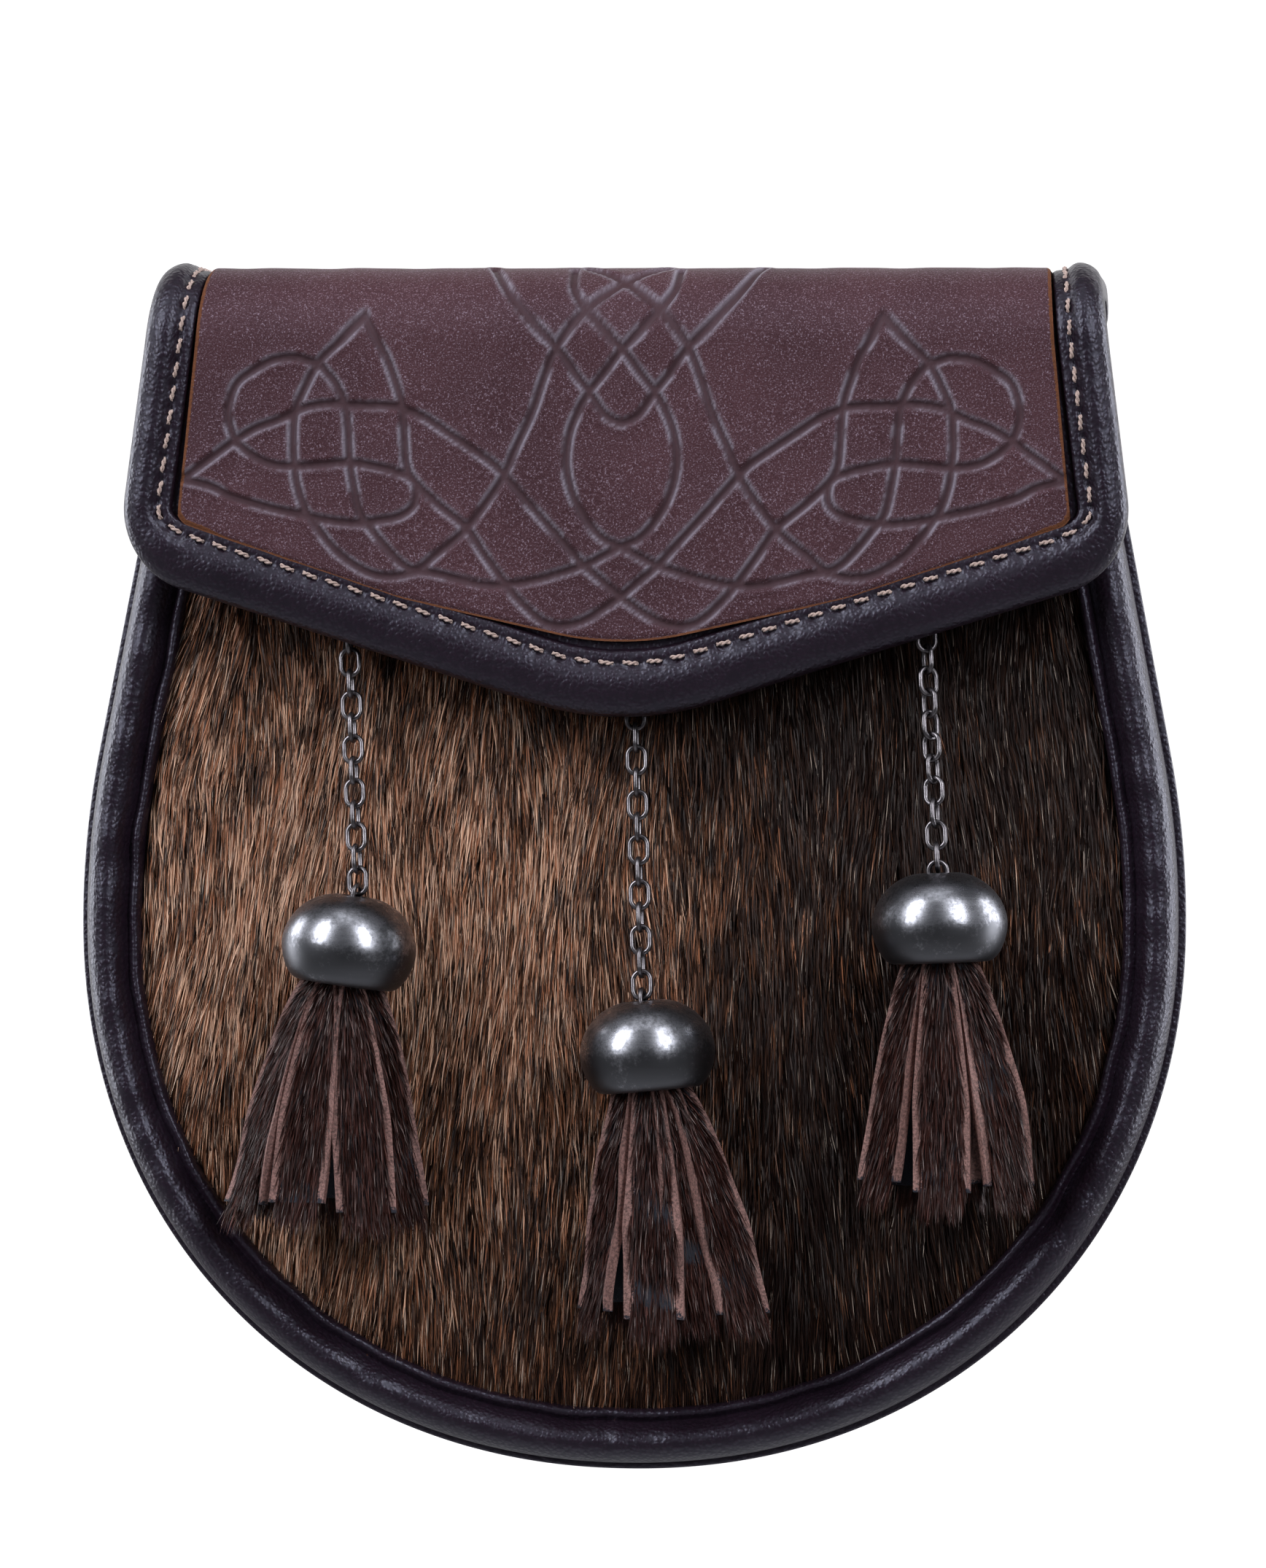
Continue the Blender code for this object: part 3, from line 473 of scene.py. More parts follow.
def make_panel_leather(name):
    """Purple-brown leather, finely speckled, with smoother pressed lines and a tan edge."""
    colours = bpy.context.scene.pouch_colours
    work = Finish(name, Specular_IOR_Level=0.18, Specular_Tint=(0.80, 0.76, 1.0, 1.0))
    place = work.place()
    pressed = 1.0 - work.mark("pressed")
    raw = work.mark("raw")
    speck = work.noise(place, 3600.0, 2.0, 0.75)
    grit = work.node("TexVoronoi", None, {"Vector": place, "Scale": 2100.0})
    broad = work.noise(place, 42.0, 3.0, 0.5)
    base = colours.panel_leather
    dark = shade(base, 0.85)
    light = shade(base, 1.15)
    colour = work.mix(broad.between(0.25, 0.75), dark, light)
    colour = work.mix(speck.between(0.54, 0.70) * pressed * 0.9, colour, (0.26, 0.19, 0.235))
    colour = work.mix(speck.between(0.47, 0.30) * pressed * 0.7, colour, shade(base, 0.45))
    colour = work.mix((1.0 - pressed) * 0.6, colour, (0.060, 0.036, 0.040))
    # Painted highlight: pale bluish-white along the walls of the pressed lines, which are also
    # made smoother
    rubbed = work.mark("rubbed")
    colour = work.mix(rubbed * 0.6, colour, (0.34, 0.31, 0.37))
    fibre = work.noise(work.stretched(place, 1.0, 1.0, 1.6), 1500.0, 3.0, 0.7)
    tan = work.mix(fibre, shade(colours.raw_edge, 0.35), colours.raw_edge)
    ragged = (raw + (fibre - 0.5) * 0.55).between(0.42, 0.62)
    colour = work.mix(ragged, colour, tan)
    rough = 0.48 + speck * 0.14 - pressed * 0.05 + ragged * 0.3 - rubbed * 0.16
    height = (speck * 0.8 + grit * 0.9) * (0.25 + pressed * 0.75) + fibre * ragged * 1.5
    return work.feed(Base_Color=colour, Roughness=rough,
                     Normal=work.bump(height, 0.00010, 0.8))


def make_thread(name):
    """Waxed two-ply thread with fine fibres."""
    colour = bpy.context.scene.pouch_colours.thread
    work = Finish(name, Specular_IOR_Level=0.35, Sheen_Weight=0.2)
    place = work.place()
    fibre = work.noise(place, 5200.0, 2.0, 0.7)
    broad = work.noise(place, 130.0, 2.0)
    base = work.mix(fibre * 0.6 + broad * 0.4, shade(colour, 0.45), shade(colour, 1.25))
    return work.feed(Base_Color=base, Roughness=0.55 + fibre * 0.25,
                     Normal=work.bump(fibre, 0.00008, 0.7))


def make_fur_skin(name):
    """The dark undercoat that shows between the hairs."""
    colours = bpy.context.scene.pouch_colours
    work = Finish(name, Specular_IOR_Level=0.15)
    place = work.place()
    strands = work.noise(work.stretched(place, 1.0, 1.0, 0.12), 2600.0, 3.0, 0.7)
    tone = work.mark("tone")
    light = shade(colours.fur_light, 0.22)
    colour = work.mix(strands.between(0.35, 0.8) * tone, colours.fur_dark, light)
    return work.feed(Base_Color=colour, Roughness=0.75 + strands * 0.2,
                     Normal=work.bump(strands, 0.0006, 0.8))


def hair_colours(work, stops, frost_colour):
    """Hair colour by its tone, darker at its root and paler at a frosted tip."""
    tone, along, frost = (work.mark(key) for key in ("tone", "along", "frost"))
    place = work.place()
    streak = work.noise(work.stretched(place, 1.0, 1.0, 0.25), 900.0, 2.0)
    ramp = work.node("ValToRGB", {"stops": stops}, {0: tone + (streak - 0.5) * 0.12})
    root = 0.22 + along.between(0.0, 0.75) * 0.95
    colour = work.mix(1.0, ramp, work.node("CombineColor", None, {0: root, 1: root, 2: root}),
                      "MULTIPLY")
    tip = frost * along.between(0.45, 1.0)
    return work.mix(tip, colour, frost_colour), 0.28 + streak * 0.2


def make_fur(name):
    """Short sleek hairs, golden brown to near black, with pale tips."""
    colours = bpy.context.scene.pouch_colours
    light, dark = tuple(colours.fur_light), tuple(colours.fur_dark)
    work = Finish(name, Specular_IOR_Level=0.17, Specular_Tint=(1.0, 0.90, 0.86, 1.0))
    stops = ((0.0, dark), (0.3, (0.028, 0.012, 0.008)), (0.55, (0.105, 0.045, 0.024)),
             (0.8, light), (1.0, (0.66, 0.40, 0.27)))
    colour, rough = hair_colours(work, stops, (0.80, 0.64, 0.52))
    return work.feed(Base_Color=colour, Roughness=rough)


def make_tassel_fur(name):
    """Dark reddish brown hairs of the tassels, some of them pale."""
    colours = bpy.context.scene.pouch_colours
    work = Finish(name, Specular_IOR_Level=0.18, Specular_Tint=(1.0, 0.88, 0.88, 1.0))
    middle = tuple(colours.tassel_fur)
    stops = ((0.0, (0.010, 0.005, 0.005)), (0.35, shade(middle, 0.5)),
             (0.7, middle), (1.0, (0.115, 0.050, 0.042)))
    colour, rough = hair_colours(work, stops, (0.50, 0.40, 0.37))
    return work.feed(Base_Color=colour, Roughness=rough)


def make_strip_leather(name):
    """Tassel strip: black skin side, and dusty pink-brown along its cut edges."""
    colours = bpy.context.scene.pouch_colours
    work = Finish(name, Specular_IOR_Level=0.3)
    place = work.place()
    fibre = work.noise(place, 2400.0, 3.0, 0.7)
    cut = work.mark("cut")
    edge = work.mix(fibre.between(0.3, 0.7), shade(colours.strip_edge, 0.35),
                    shade(colours.strip_edge, 1.3))
    skin = work.mix(fibre, (0.006, 0.007, 0.012), (0.022, 0.022, 0.033))
    colour = work.mix((cut + (fibre - 0.5) * 0.9).between(0.3, 0.5), skin, edge)
    return work.feed(Base_Color=colour, Roughness=0.5 + fibre * 0.35,
                     Normal=work.bump(fibre, 0.00015, 0.9))


def make_nickel(name):
    """Antique nickel: worn bright, tarnished dark, painted shade on the lower half, fine
    scratches.
    """
    colours = bpy.context.scene.pouch_colours
    work = Finish(name, Metallic=1.0)
    place = work.place()
    cloud = work.noise(place, 210.0, 5.0, 0.65)
    speck = work.noise(place, 1500.0, 3.0, 0.7)
    scratch = work.noise(work.stretched(place, 0.16, 0.16, 1.9), 2300.0, 3.0, 0.62)
    # Painted shade: the low mark darkens the lower half of each bell, on top of the tarnish from
    # cloud and speck
    patina_and_shade = (cloud * 0.7 + speck * 0.45 + work.mark("low") * 0.22).between(0.42, 0.76)
    base = tuple(colours.nickel)
    colour = work.mix(patina_and_shade * 0.88, base, shade(base, 0.12))
    rough = 0.20 + patina_and_shade * 0.14 + scratch * 0.10
    height = scratch * 0.6 + speck * 0.25 + cloud * 0.5
    return work.feed(Base_Color=colour, Roughness=rough,
                     Normal=work.bump(height, 0.00004, 0.4))


def make_chain_metal(name):
    """Gunmetal wire, darker in cloudy patches."""
    colours = bpy.context.scene.pouch_colours
    work = Finish(name, Metallic=1.0)
    place = work.place()
    cloud = work.noise(place, 700.0, 4.0, 0.6)
    base = tuple(0.44 * part * warm for part, warm in zip(colours.nickel, (1.06, 0.97, 0.94)))
    colour = work.mix(cloud.between(0.35, 0.75) * 0.75, base, shade(base, 0.3))
    return work.feed(Base_Color=colour, Roughness=0.20 + cloud * 0.22,
                     Normal=work.bump(cloud, 0.00005, 0.4))


FINISH_MAKERS = {
    "body_leather": make_body_leather,
    "panel_leather": make_panel_leather,
    "thread": make_thread,
    "fur_skin": make_fur_skin,
    "fur": make_fur,
    "tassel_fur": make_tassel_fur,
    "strip_leather": make_strip_leather,
    "nickel": make_nickel,
    "chain_metal": make_chain_metal,
}


# Lines, fields and meshes


def ripple(points, length, seed, waves=8):
    """A smooth random field, about -1 to 1, whose waves are about a length long."""
    dice = np.random.default_rng(seed)
    total = np.zeros(len(points))
    for _ in range(waves):
        way = dice.normal(size=points.shape[1])
        way *= 2 * math.pi / (length * dice.uniform(0.7, 1.5) * np.linalg.norm(way))
        total += np.sin(points @ way + dice.uniform(0, 2 * math.pi))
    return total / math.sqrt(waves)


def soft_step(values, low, high):
    share = np.clip((values - low) / (high - low), 0.0, 1.0)
    return share * share * (3 - 2 * share)


def evenly(points, spacing):
    """The same line with its points a spacing apart."""
    points = np.asarray(points, float)
    run = np.concatenate(([0.0], np.cumsum(np.linalg.norm(np.diff(points, axis=0), axis=1))))
    count = max(2, round(run[-1] / spacing) + 1)
    steps = np.linspace(0.0, run[-1], count)
    return np.stack([np.interp(steps, run, axis) for axis in points.T], axis=1)


def smooth_line(points, spacing, steps=10):
    """A smooth curve through points, with its own points a spacing apart."""
    knots = np.asarray(points, float)
    padded = np.vstack((2 * knots[0] - knots[1], knots, 2 * knots[-1] - knots[-2]))
    shares = np.linspace(0, 1, steps, endpoint=False)[:, None]
    spans = []
    for a, b, c, d in zip(padded, padded[1:], padded[2:], padded[3:]):
        spans.append(0.5 * (2 * b + (c - a) * shares + (2 * a - 5 * b + 4 * c - d) * shares**2
                            + (3 * b - a - 3 * c + d) * shares**3))
    return evenly(np.vstack((*spans, knots[-1:])), spacing)


def inward(line, closed=False):
    """Unit normals to the right-hand side of a line in the plane, its way taken clockwise."""
    if closed:
        way = np.roll(line, -1, axis=0) - np.roll(line, 1, axis=0)
    else:
        way = np.gradient(line, axis=0)
    way = unit(way)
    return np.stack((way[:, 1], -way[:, 0]), axis=1)


def rounded(corners, steps=14):
    """A line through corners (x, y, radius), each rounded off."""
    points = [corners[0][:2]]
    for before, corner, after in zip(corners, corners[1:], corners[2:]):
        here = Vector(corner[:2])
        back = (Vector(before[:2]) - here).normalized()
        on = (Vector(after[:2]) - here).normalized()
        half = back.angle(on) / 2
        centre = here + (back + on).normalized() * corner[2] / math.sin(half)
        first = here + back * corner[2] / math.tan(half) - centre
        turn = first.angle_signed(here + on * corner[2] / math.tan(half) - centre)
        for step in range(steps + 1):
            spoke = first.copy()
            spoke.rotate(Matrix.Rotation(-turn * step / steps, 2))
            points.append(tuple(centre + spoke))
    points.append(corners[-1][:2])
    return [point for point in points if point[0] > 1e-4]


def pattern_outline(corners, spacing):
    """A flap pattern's closed outline: down its right side, round its point and back up."""
    half = rounded(corners)
    whole = half + [(-across, up) for across, up in reversed(half)]
    return evenly(whole + whole[:1], spacing)[:-1]


def pouch_line(spacing):
    """The pouch outline from the right end of its mouth round to the left end."""
    centre_x = HALF_WIDTH - SHOULDER_RADIUS
    straight_x = centre_x + SHOULDER_RADIUS * math.cos(TAPER)
    straight_z = WIDEST_Z + SHOULDER_RADIUS * math.sin(TAPER)
    half = [(straight_x - math.tan(TAPER) * (MOUTH_Z - straight_z), MOUTH_Z)]
    for turn in np.linspace(TAPER, 0, 14, endpoint=False):
        half.append((centre_x + SHOULDER_RADIUS * math.cos(turn),
                     WIDEST_Z + SHOULDER_RADIUS * math.sin(turn)))
    for turn in np.linspace(0, math.pi / 2, 120):
        side = max(math.cos(turn), 0.0) ** (2 / POWER)
        half.append((HALF_WIDTH * side, WIDEST_Z - DROP * math.sin(turn) ** (2 / POWER)))
    return evenly(half + [(-across, up) for across, up in reversed(half[:-1])], spacing)


def unit(vectors):
    return vectors / np.linalg.norm(vectors, axis=1)[:, None]


def edge_distance(points, line, block=4000):
    """Shortest way from each point in the plane to a line's points."""
    nearest = [np.sqrt(((part[:, None, :] - line[None]) ** 2).sum(-1)).min(1)
               for part in np.array_split(points, max(1, len(points) // block))]
    return np.concatenate(nearest)


def grid_faces(rows, columns, wrap_rows=False, wrap_columns=False):
    row, column = np.meshgrid(np.arange(rows if wrap_rows else rows - 1),
                              np.arange(columns if wrap_columns else columns - 1),
                              indexing="ij")
    next_row, next_column = (row + 1) % rows, (column + 1) % columns
    return np.stack((row * columns + column, row * columns + next_column,
                     next_row * columns + next_column, next_row * columns + column),
                    axis=-1).reshape(-1, 4)


class Pattern:
    """Points and faces that grow into one mesh."""

    def __init__(self):
        self.points, self.faces, self.marks, self.count = [], {}, {}, 0

    def add(self, points, *faces, **marks):
        points = np.asarray(points, float).reshape(-1, 3)
        for group in faces:
            group = np.asarray(group, int)
            self.faces.setdefault(group.shape[1], []).append(group + self.count)
        for key, values in marks.items():
            self.marks.setdefault(key, []).append(
                np.broadcast_to(np.asarray(values, float).reshape(-1), (len(points),)))
        self.points.append(points)
        self.count += len(points)

    def tube(self, grid, closed_rows=False, **marks):
        """A surface over rows of ring points, closed round each ring and over its ends."""
        rows, columns = grid.shape[:2]
        faces = [grid_faces(rows, columns, wrap_rows=closed_rows, wrap_columns=True)]
        if not closed_rows:
            faces.append(np.arange(columns)[None, ::-1])
            faces.append((np.arange(columns) + (rows - 1) * columns)[None])
        self.add(grid, *faces, **marks)

    def mesh(self, name, outwards=True):
        mesh = bpy.data.meshes.new(name)
        points = np.vstack(self.points) * MM
        groups = [np.vstack(group) for group in self.faces.values()]
        sizes = np.concatenate([np.full(len(group), group.shape[1]) for group in groups])
        corners = np.concatenate([group.ravel() for group in groups])
        mesh.vertices.add(len(points))
        mesh.vertices.foreach_set("co", points.ravel())
        mesh.loops.add(len(corners))
        mesh.loops.foreach_set("vertex_index", corners.astype(np.int32))
        mesh.polygons.add(len(sizes))
        mesh.polygons.foreach_set(
            "loop_start", np.concatenate(([0], np.cumsum(sizes)[:-1])).astype(np.int32))
        mesh.update(calc_edges=True)
        for key, values in self.marks.items():
            layer = mesh.attributes.new(key, "FLOAT", "POINT")
            layer.data.foreach_set("value", np.concatenate(values).astype(np.float32))
        if outwards:
            turn_outwards(mesh)
        mesh.validate()
        return mesh


def turn_outwards(mesh):
    work = bmesh.new()
    work.from_mesh(mesh)
    bmesh.ops.recalc_face_normals(work, faces=work.faces)
    work.to_mesh(mesh)
    work.free()


def add_piece(name, shape, finish_name, slot, *nodes, sharp=0):
    """Puts a pattern or mesh into the scene, on the pouch and in place of its CAD solids."""
    mesh = shape.mesh(name) if isinstance(shape, Pattern) else shape
    piece = bpy.data.objects.new(name, mesh)
    mesh.materials.append(finish(finish_name))
    mesh.shade_smooth()
    if sharp:
        mesh.set_sharp_from_angle(angle=math.radians(sharp))
    bpy.context.scene.collection.objects.link(piece)
    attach(piece, "root")
    if nodes:
        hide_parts(*nodes)
    return piece


def standing(across, up, high, back_y):
    """Points on the pouch's front, by their height over a depth."""
    return np.stack((across, back_y - high, up), axis=-1)


def folded(points):
    """Where points (across, up, high) of the flap's pattern lie on the folded flap."""
    across, up, high = np.moveaxis(np.asarray(points, float), -1, 0)
    reach = FOLD_RADIUS + high
    first = np.clip((up - FOLD_START) / FOLD_RADIUS, 0, math.pi / 2)
    flat = np.clip(up - FOLD_START - FOLD_LENGTH, 0, TOP_RUN)
    second = np.clip((up - FOLD_START - FOLD_LENGTH - TOP_RUN) / FOLD_RADIUS, 0, math.pi / 2)
    tail = np.maximum(up - FOLD_START - 2 * FOLD_LENGTH - TOP_RUN, 0)
    front = up < FOLD_START + FOLD_LENGTH
    depth = np.where(front, FLAP_FRONT_Y + FOLD_RADIUS - reach * np.cos(first),
                     FLAP_FRONT_Y + FOLD_RADIUS + flat + reach * np.sin(second))
    height = np.where(front, np.minimum(up, FOLD_START) + reach * np.sin(first),
                      FOLD_START + reach * np.cos(second) - tail)
    bow = 0.5 * np.clip(1 - (across / 85) ** 2, 0, 1) * soft_step(FOLD_START - up, 0, 30)
    return np.stack((across, depth - bow, height), axis=-1)


def stitches(pattern, line, away, pitch, thick, show=0.68, lift=0.22, dip=0.75, turns=1.3,
             steps=11, sides=6):
    """Two-ply stitches along a line of points, with away as the surface's normals."""
    run = np.concatenate(([0.0], np.cumsum(np.linalg.norm(np.diff(line, axis=0), axis=1))))
    count = int(run[-1] / pitch)
    shares = np.linspace(-0.5, 0.5, steps)
    spin = np.linspace(0, 2 * math.pi, sides + 1)[:-1]
    for number in range(count):
        middle = (number + 0.5) * run[-1] / count
        places = middle + shares * pitch * show
        spine = np.stack([np.interp(places, run, axis) for axis in line.T], axis=1)
        normal = np.array([np.interp(middle, run, axis) for axis in away.T])
        normal /= np.linalg.norm(normal)
        way = spine[-1] - spine[0]
        way /= np.linalg.norm(way)
        side = np.cross(way, normal)
        arch = 1 - (2 * np.abs(shares)) ** 5
        spine = spine + normal * (lift * arch - dip * (1 - arch))[:, None]
        spine = spine + side * (np.linspace(-0.14, 0.14, len(shares)))[:, None]
        for ply in (0.0, math.pi):
            twist = ply + 2 * math.pi * turns * (shares + 0.5) + number * 0.9
            offset = thick * 0.24
            core = (spine + offset * np.cos(twist)[:, None] * side
                    + offset * np.sin(twist)[:, None] * normal)
            radius = thick * 0.27 * (0.7 + 0.3 * arch)
            ring = (core[:, None] + radius[:, None, None]
                    * (np.cos(spin)[None, :, None] * side + np.sin(spin)[None, :, None] * normal))
            pattern.tube(ring)


# Pieces


def fur_tone_and_flap_shadow(across, up):
    """Lightness of the hide at a place, from golden on the left to near black."""
    points = np.stack((across, up), axis=-1)
    tone = 0.40 - 0.31 * soft_step(across, -12, 30)
    # The last patch darkens the fur under the flap: painted shadow
    for x, z, wide, tall, gain in FUR_PATCHES_AND_FLAP_SHADOW:
        tone += gain * np.exp(-(((across - x) / wide) ** 2) - ((up - z) / tall) ** 2)
    tone += 0.05 * ripple(points / (1.0, 2.5), 16.0, 31) + 0.04 * ripple(points, 6.0, 32)
    return np.clip(tone, 0.04, 0.95)


def pile_height(across, up, outline):
    rounding = 1 - np.exp(-edge_distance(np.stack((across, up), axis=-1), outline)
                          / PILE_ROUNDING)
    crown = np.clip(1 - (across / HALF_WIDTH) ** 2, 0, 1)
    return PILE_EDGE + PILE_RISE * rounding + PILE_CROWN * crown * rounding


def make_rim():
    """The padded rim: a broad lobe, a valley and a narrow inner ridge."""
    path = pouch_line(HIDE_STEP)
    normal = inward(path)
    section = smooth_line(RIM_SECTION, 0.42)
    run = np.arange(len(path)) * HIDE_STEP
    wander = ripple(run[:, None], 17.0, 5)[:, None] * 0.22
    inner = soft_step(section[:, 0], 5.5, 8.5)[None]
    ends = np.sin(np.linspace(0, math.pi, len(section)))[None]
    inset = section[:, 0][None] + wander * inner * ends
    high = section[:, 1][None] * (1 + 0.035 * ripple(run[:, None], 11.0, 6)[:, None] * ends)
    grid = path[:, None] + normal[:, None] * inset[..., None]
    flat = grid.reshape(-1, 2)
    creases = np.zeros(len(flat))
    for x, z, width, lean in RIM_CREASES:
        across = (flat[:, 0] - x) - lean * (flat[:, 1] - z)
        creases += np.exp(-((across / width) ** 2)) * (np.abs(flat[:, 1] - z) < CREASE_REACH)
    high = high - 0.35 * creases.reshape(high.shape) * ends
    pattern = Pattern()
    pattern.tube(standing(grid[..., 0], grid[..., 1], np.maximum(high, 0),
                          HIDE_BACK_Y - HIDE_THICKNESS - GAP))
    rim = add_piece("rim_leather", pattern, "body_leather", "body_leather", "front_rim", sharp=70)


def fur_outline():
    """The closed line round the fur, along the rim's inner edge and the mouth."""
    path = pouch_line(HIDE_STEP)
    outline = path + inward(path) * RIM_INNER
    return np.vstack((outline, evenly((outline[-1], outline[0]), HIDE_STEP)[1:-1]))


def make_hide():
    """The front hide: its layered edge outside the rim and its undercoat inside it."""
    path = pouch_line(HIDE_STEP)
    normal = inward(path)
    edge = np.array(((0.35, 0.0), (0.05, 0.12), (0.0, 0.4), (0.1, 0.62), (0.28, 0.7),
                     (0.1, 0.8), (0.0, 1.0), (0.08, 1.32), (0.4, 1.5), (1.2, 1.5),
                     (14.0, 1.5), (14.0, 0.0)))
    grid = path[:, None] + normal[:, None] * edge[None, :, :1]
    pattern = Pattern()
    high = np.broadcast_to(edge[None, :, 1], grid.shape[:2])
    pattern.tube(standing(grid[..., 0], np.minimum(grid[..., 1], MOUTH_Z), high, HIDE_BACK_Y))
    add_piece("hide_edge", pattern, "body_leather", "fur", "fur_front", sharp=60)

    outline = fur_outline()
    centre = np.array((0.0, -60.0))
    shares = 1 - np.linspace(0, 1, 44) ** 1.5 * 0.985
    rings = centre + (outline[None] - centre) * shares[:, None, None]
    flat = rings.reshape(-1, 2)
    high = pile_height(flat[:, 0], flat[:, 1], outline) - 2.6
    high += 0.25 * ripple(flat / (1.0, 2.2), 5.0, 12)
    high[:len(outline)] = HIDE_THICKNESS
    pattern = Pattern()
    rows, columns = rings.shape[:2]
    pattern.add(standing(flat[:, 0], flat[:, 1], high, HIDE_BACK_Y),
                grid_faces(rows, columns, wrap_columns=True),
                (np.arange(columns) + (rows - 1) * columns)[None],
                tone=fur_tone_and_flap_shadow(flat[:, 0], flat[:, 1]))
    back = outline[::-1]
    pattern.add(standing(back[:, 0], back[:, 1], np.full(len(back), 0.4), HIDE_BACK_Y),
                np.arange(len(back))[None], tone=0.0)
    add_piece("hide_skin", pattern, "fur_skin", "fur", "fur_front")


def hair_blades(roots, along, away, length, width, dice, lift=(30.0, 7.0), jitter=50.0):
    """Points and faces of tapered blades that rise from their roots and lie over."""
    count = len(roots)
    side = unit(np.cross(along, away))
    roll = np.radians(dice.uniform(-jitter, jitter, count))[:, None]
    flat = side * np.cos(roll) + away * np.sin(roll)
    rise = np.radians(lift[0] * dice.uniform(0.6, 1.3, count))[:, None]
    lie = np.radians(lift[1] + dice.normal(0, 5.0, count))[:, None]
    middle = roots + (along * np.cos(rise) + away * np.sin(rise)) * (length * 0.42)[:, None]
    tip = middle + (along * np.cos(lie) + away * np.sin(lie)) * (length * 0.58)[:, None]
    half = (width / 2)[:, None]
    points = np.stack((roots - flat * half * 0.8, roots + flat * half * 0.8,
                       middle - flat * half, middle + flat * half, tip), axis=1)
    base = np.arange(count)[:, None] * 5
    faces = np.concatenate([base + np.array(corners)
                            for corners in ((0, 1, 3), (0, 3, 2), (2, 3, 4))])
    return points.reshape(-1, 3), faces


HAIR_SHARES = np.array((0.0, 0.0, 0.42, 0.42, 1.0))
HAIR_CELL = np.array(((0.1, 0.05), (0.9, 0.05), (0.1, 0.45), (0.9, 0.45), (0.5, 0.95)))


def hair_mesh(name, points, faces, tone, frost):
    """A mesh of hairs, each with its own place on its UV map."""
    count = len(points) // 5
    pattern = Pattern()
    pattern.add(points, faces, tone=np.repeat(tone, 5), frost=np.repeat(frost, 5),
                along=np.tile(HAIR_SHARES, count))
    mesh = pattern.mesh(name, outwards=False)
    cells = math.ceil(math.sqrt(count))
    corner = np.stack((np.arange(count) % cells, np.arange(count) // cells), axis=-1)
    places = ((corner[:, None] + HAIR_CELL[None]) / cells).reshape(-1, 2)
    order = np.empty(len(mesh.loops), np.int32)
    mesh.loops.foreach_get("vertex_index", order)
    layer = mesh.uv_layers.new(name="OFBake")
    layer.uv.foreach_set("vector", places[order].ravel().astype(np.float32))
    return mesh


def make_fur_front():
    """Hairs that lie down over the hide, in locks, in three pieces from left to right."""
    sizes = bpy.context.scene.pouch_sizes
    outline = fur_outline()
    dice = np.random.default_rng(70)
    wanted = sizes.hairs_per_piece * 3 // 1
    spots = dice.uniform((-84, -155), (84, MOUTH_Z), (wanted * 2, 2))
    inside = inside_outline(spots, outline)
    spots = spots[inside]
    hidden = (spots[:, 1] > -6) & (dice.uniform(size=len(spots)) < 0.8)
    spots = spots[~hidden][:wanted]
    high = pile_height(spots[:, 0], spots[:, 1], outline)
    close = soft_step(edge_distance(spots, outline), 0.0, 4.0)
    roots = standing(spots[:, 0], spots[:, 1], high - 2.7 + 0.5 * (1 - close), HIDE_BACK_Y)
    locks = dice.uniform((-90, -160), (90, MOUTH_Z), (LOCKS, 2))
    nearest = nearest_index(spots + 0.35 * dice.normal(size=spots.shape), locks)
    lock = locks[nearest]
    lean = 0.09 * ripple(lock / (1.0, 1.8), 22.0, 71) + dice.normal(0, 0.045, LOCKS)[nearest]
    fan = 0.10 * np.sin(np.clip(spots[:, 0] / 90, -1, 1) * math.pi / 2)
    pull = (lock[:, 0] - spots[:, 0]) / LOCK_SIZE * 0.06
    across = lean + fan + pull + dice.normal(0, 0.055, len(spots))
    slope = slope_out(spots, outline)
    along = unit(np.stack((across, -slope, -np.ones(len(spots))), axis=1))
    away = np.stack((np.zeros(len(spots)), -np.ones(len(spots)), slope), axis=1)
    away -= along * (away * along).sum(1)[:, None]
    away = unit(away)
    length = sizes.hair_length / MM * dice.uniform(0.72, 1.12, len(spots)) * (0.8 + 0.2 * close)
    width = sizes.hair_width / MM * dice.uniform(0.6, 1.25, len(spots))
    tone = fur_tone_and_flap_shadow(spots[:, 0], spots[:, 1])
    streak = ripple((spots - across[:, None] * (0, 1)) / (1.0, 9.0), 1.3, 73)
    spread = 0.45 + 0.9 * tone
    tone = tone + spread * (0.24 * streak + dice.normal(0, 0.29, len(spots))
                            + dice.normal(0, 0.05, LOCKS)[nearest])
    tone = np.clip(tone, 0, 1)
    frosty = dice.uniform(size=len(spots)) < (0.04 + 0.22 * soft_step(tone, 0.3, 0.8))
    frost = frosty * dice.uniform(0.3, 1.0, len(spots))
    for side, (low, top) in FUR_BOUNDS.items():
        chosen = (spots[:, 0] >= low) & (spots[:, 0] < top)
        points, faces = hair_blades(roots[chosen], along[chosen], away[chosen],
                                    length[chosen], width[chosen], dice, lift=(17.0, 3.0))
        name = f"fur_hairs_{side}"
        add_piece(name, hair_mesh(name, points, faces, tone[chosen], frost[chosen]), "fur",
                  "fur", "fur_front")


def slope_out(spots, outline):
    """How much the pile falls back, per mm of the way down, at each spot."""
    here = pile_height(spots[:, 0], spots[:, 1], outline)
    lower = pile_height(spots[:, 0], spots[:, 1] - 0.5, outline)
    return np.clip((lower - here) / 0.5, -0.8, 0.8)


def nearest_index(points, centres, block=3000):
    return np.concatenate([((part[:, None] - centres[None]) ** 2).sum(-1).argmin(1)
                           for part in np.array_split(points, max(1, len(points) // block))])


def inside_outline(points, outline):
    """Which points lie inside a closed outline."""
    x, y = points[:, 0], points[:, 1]
    inside = np.zeros(len(points), bool)
    for (x0, y0), (x1, y1) in zip(outline, np.roll(outline, -1, axis=0)):
        if y0 != y1:
            crosses = (y0 > y) != (y1 > y)
            inside ^= crosses & (x < (x1 - x0) * (y - y0) / (y1 - y0) + x0)
    return inside


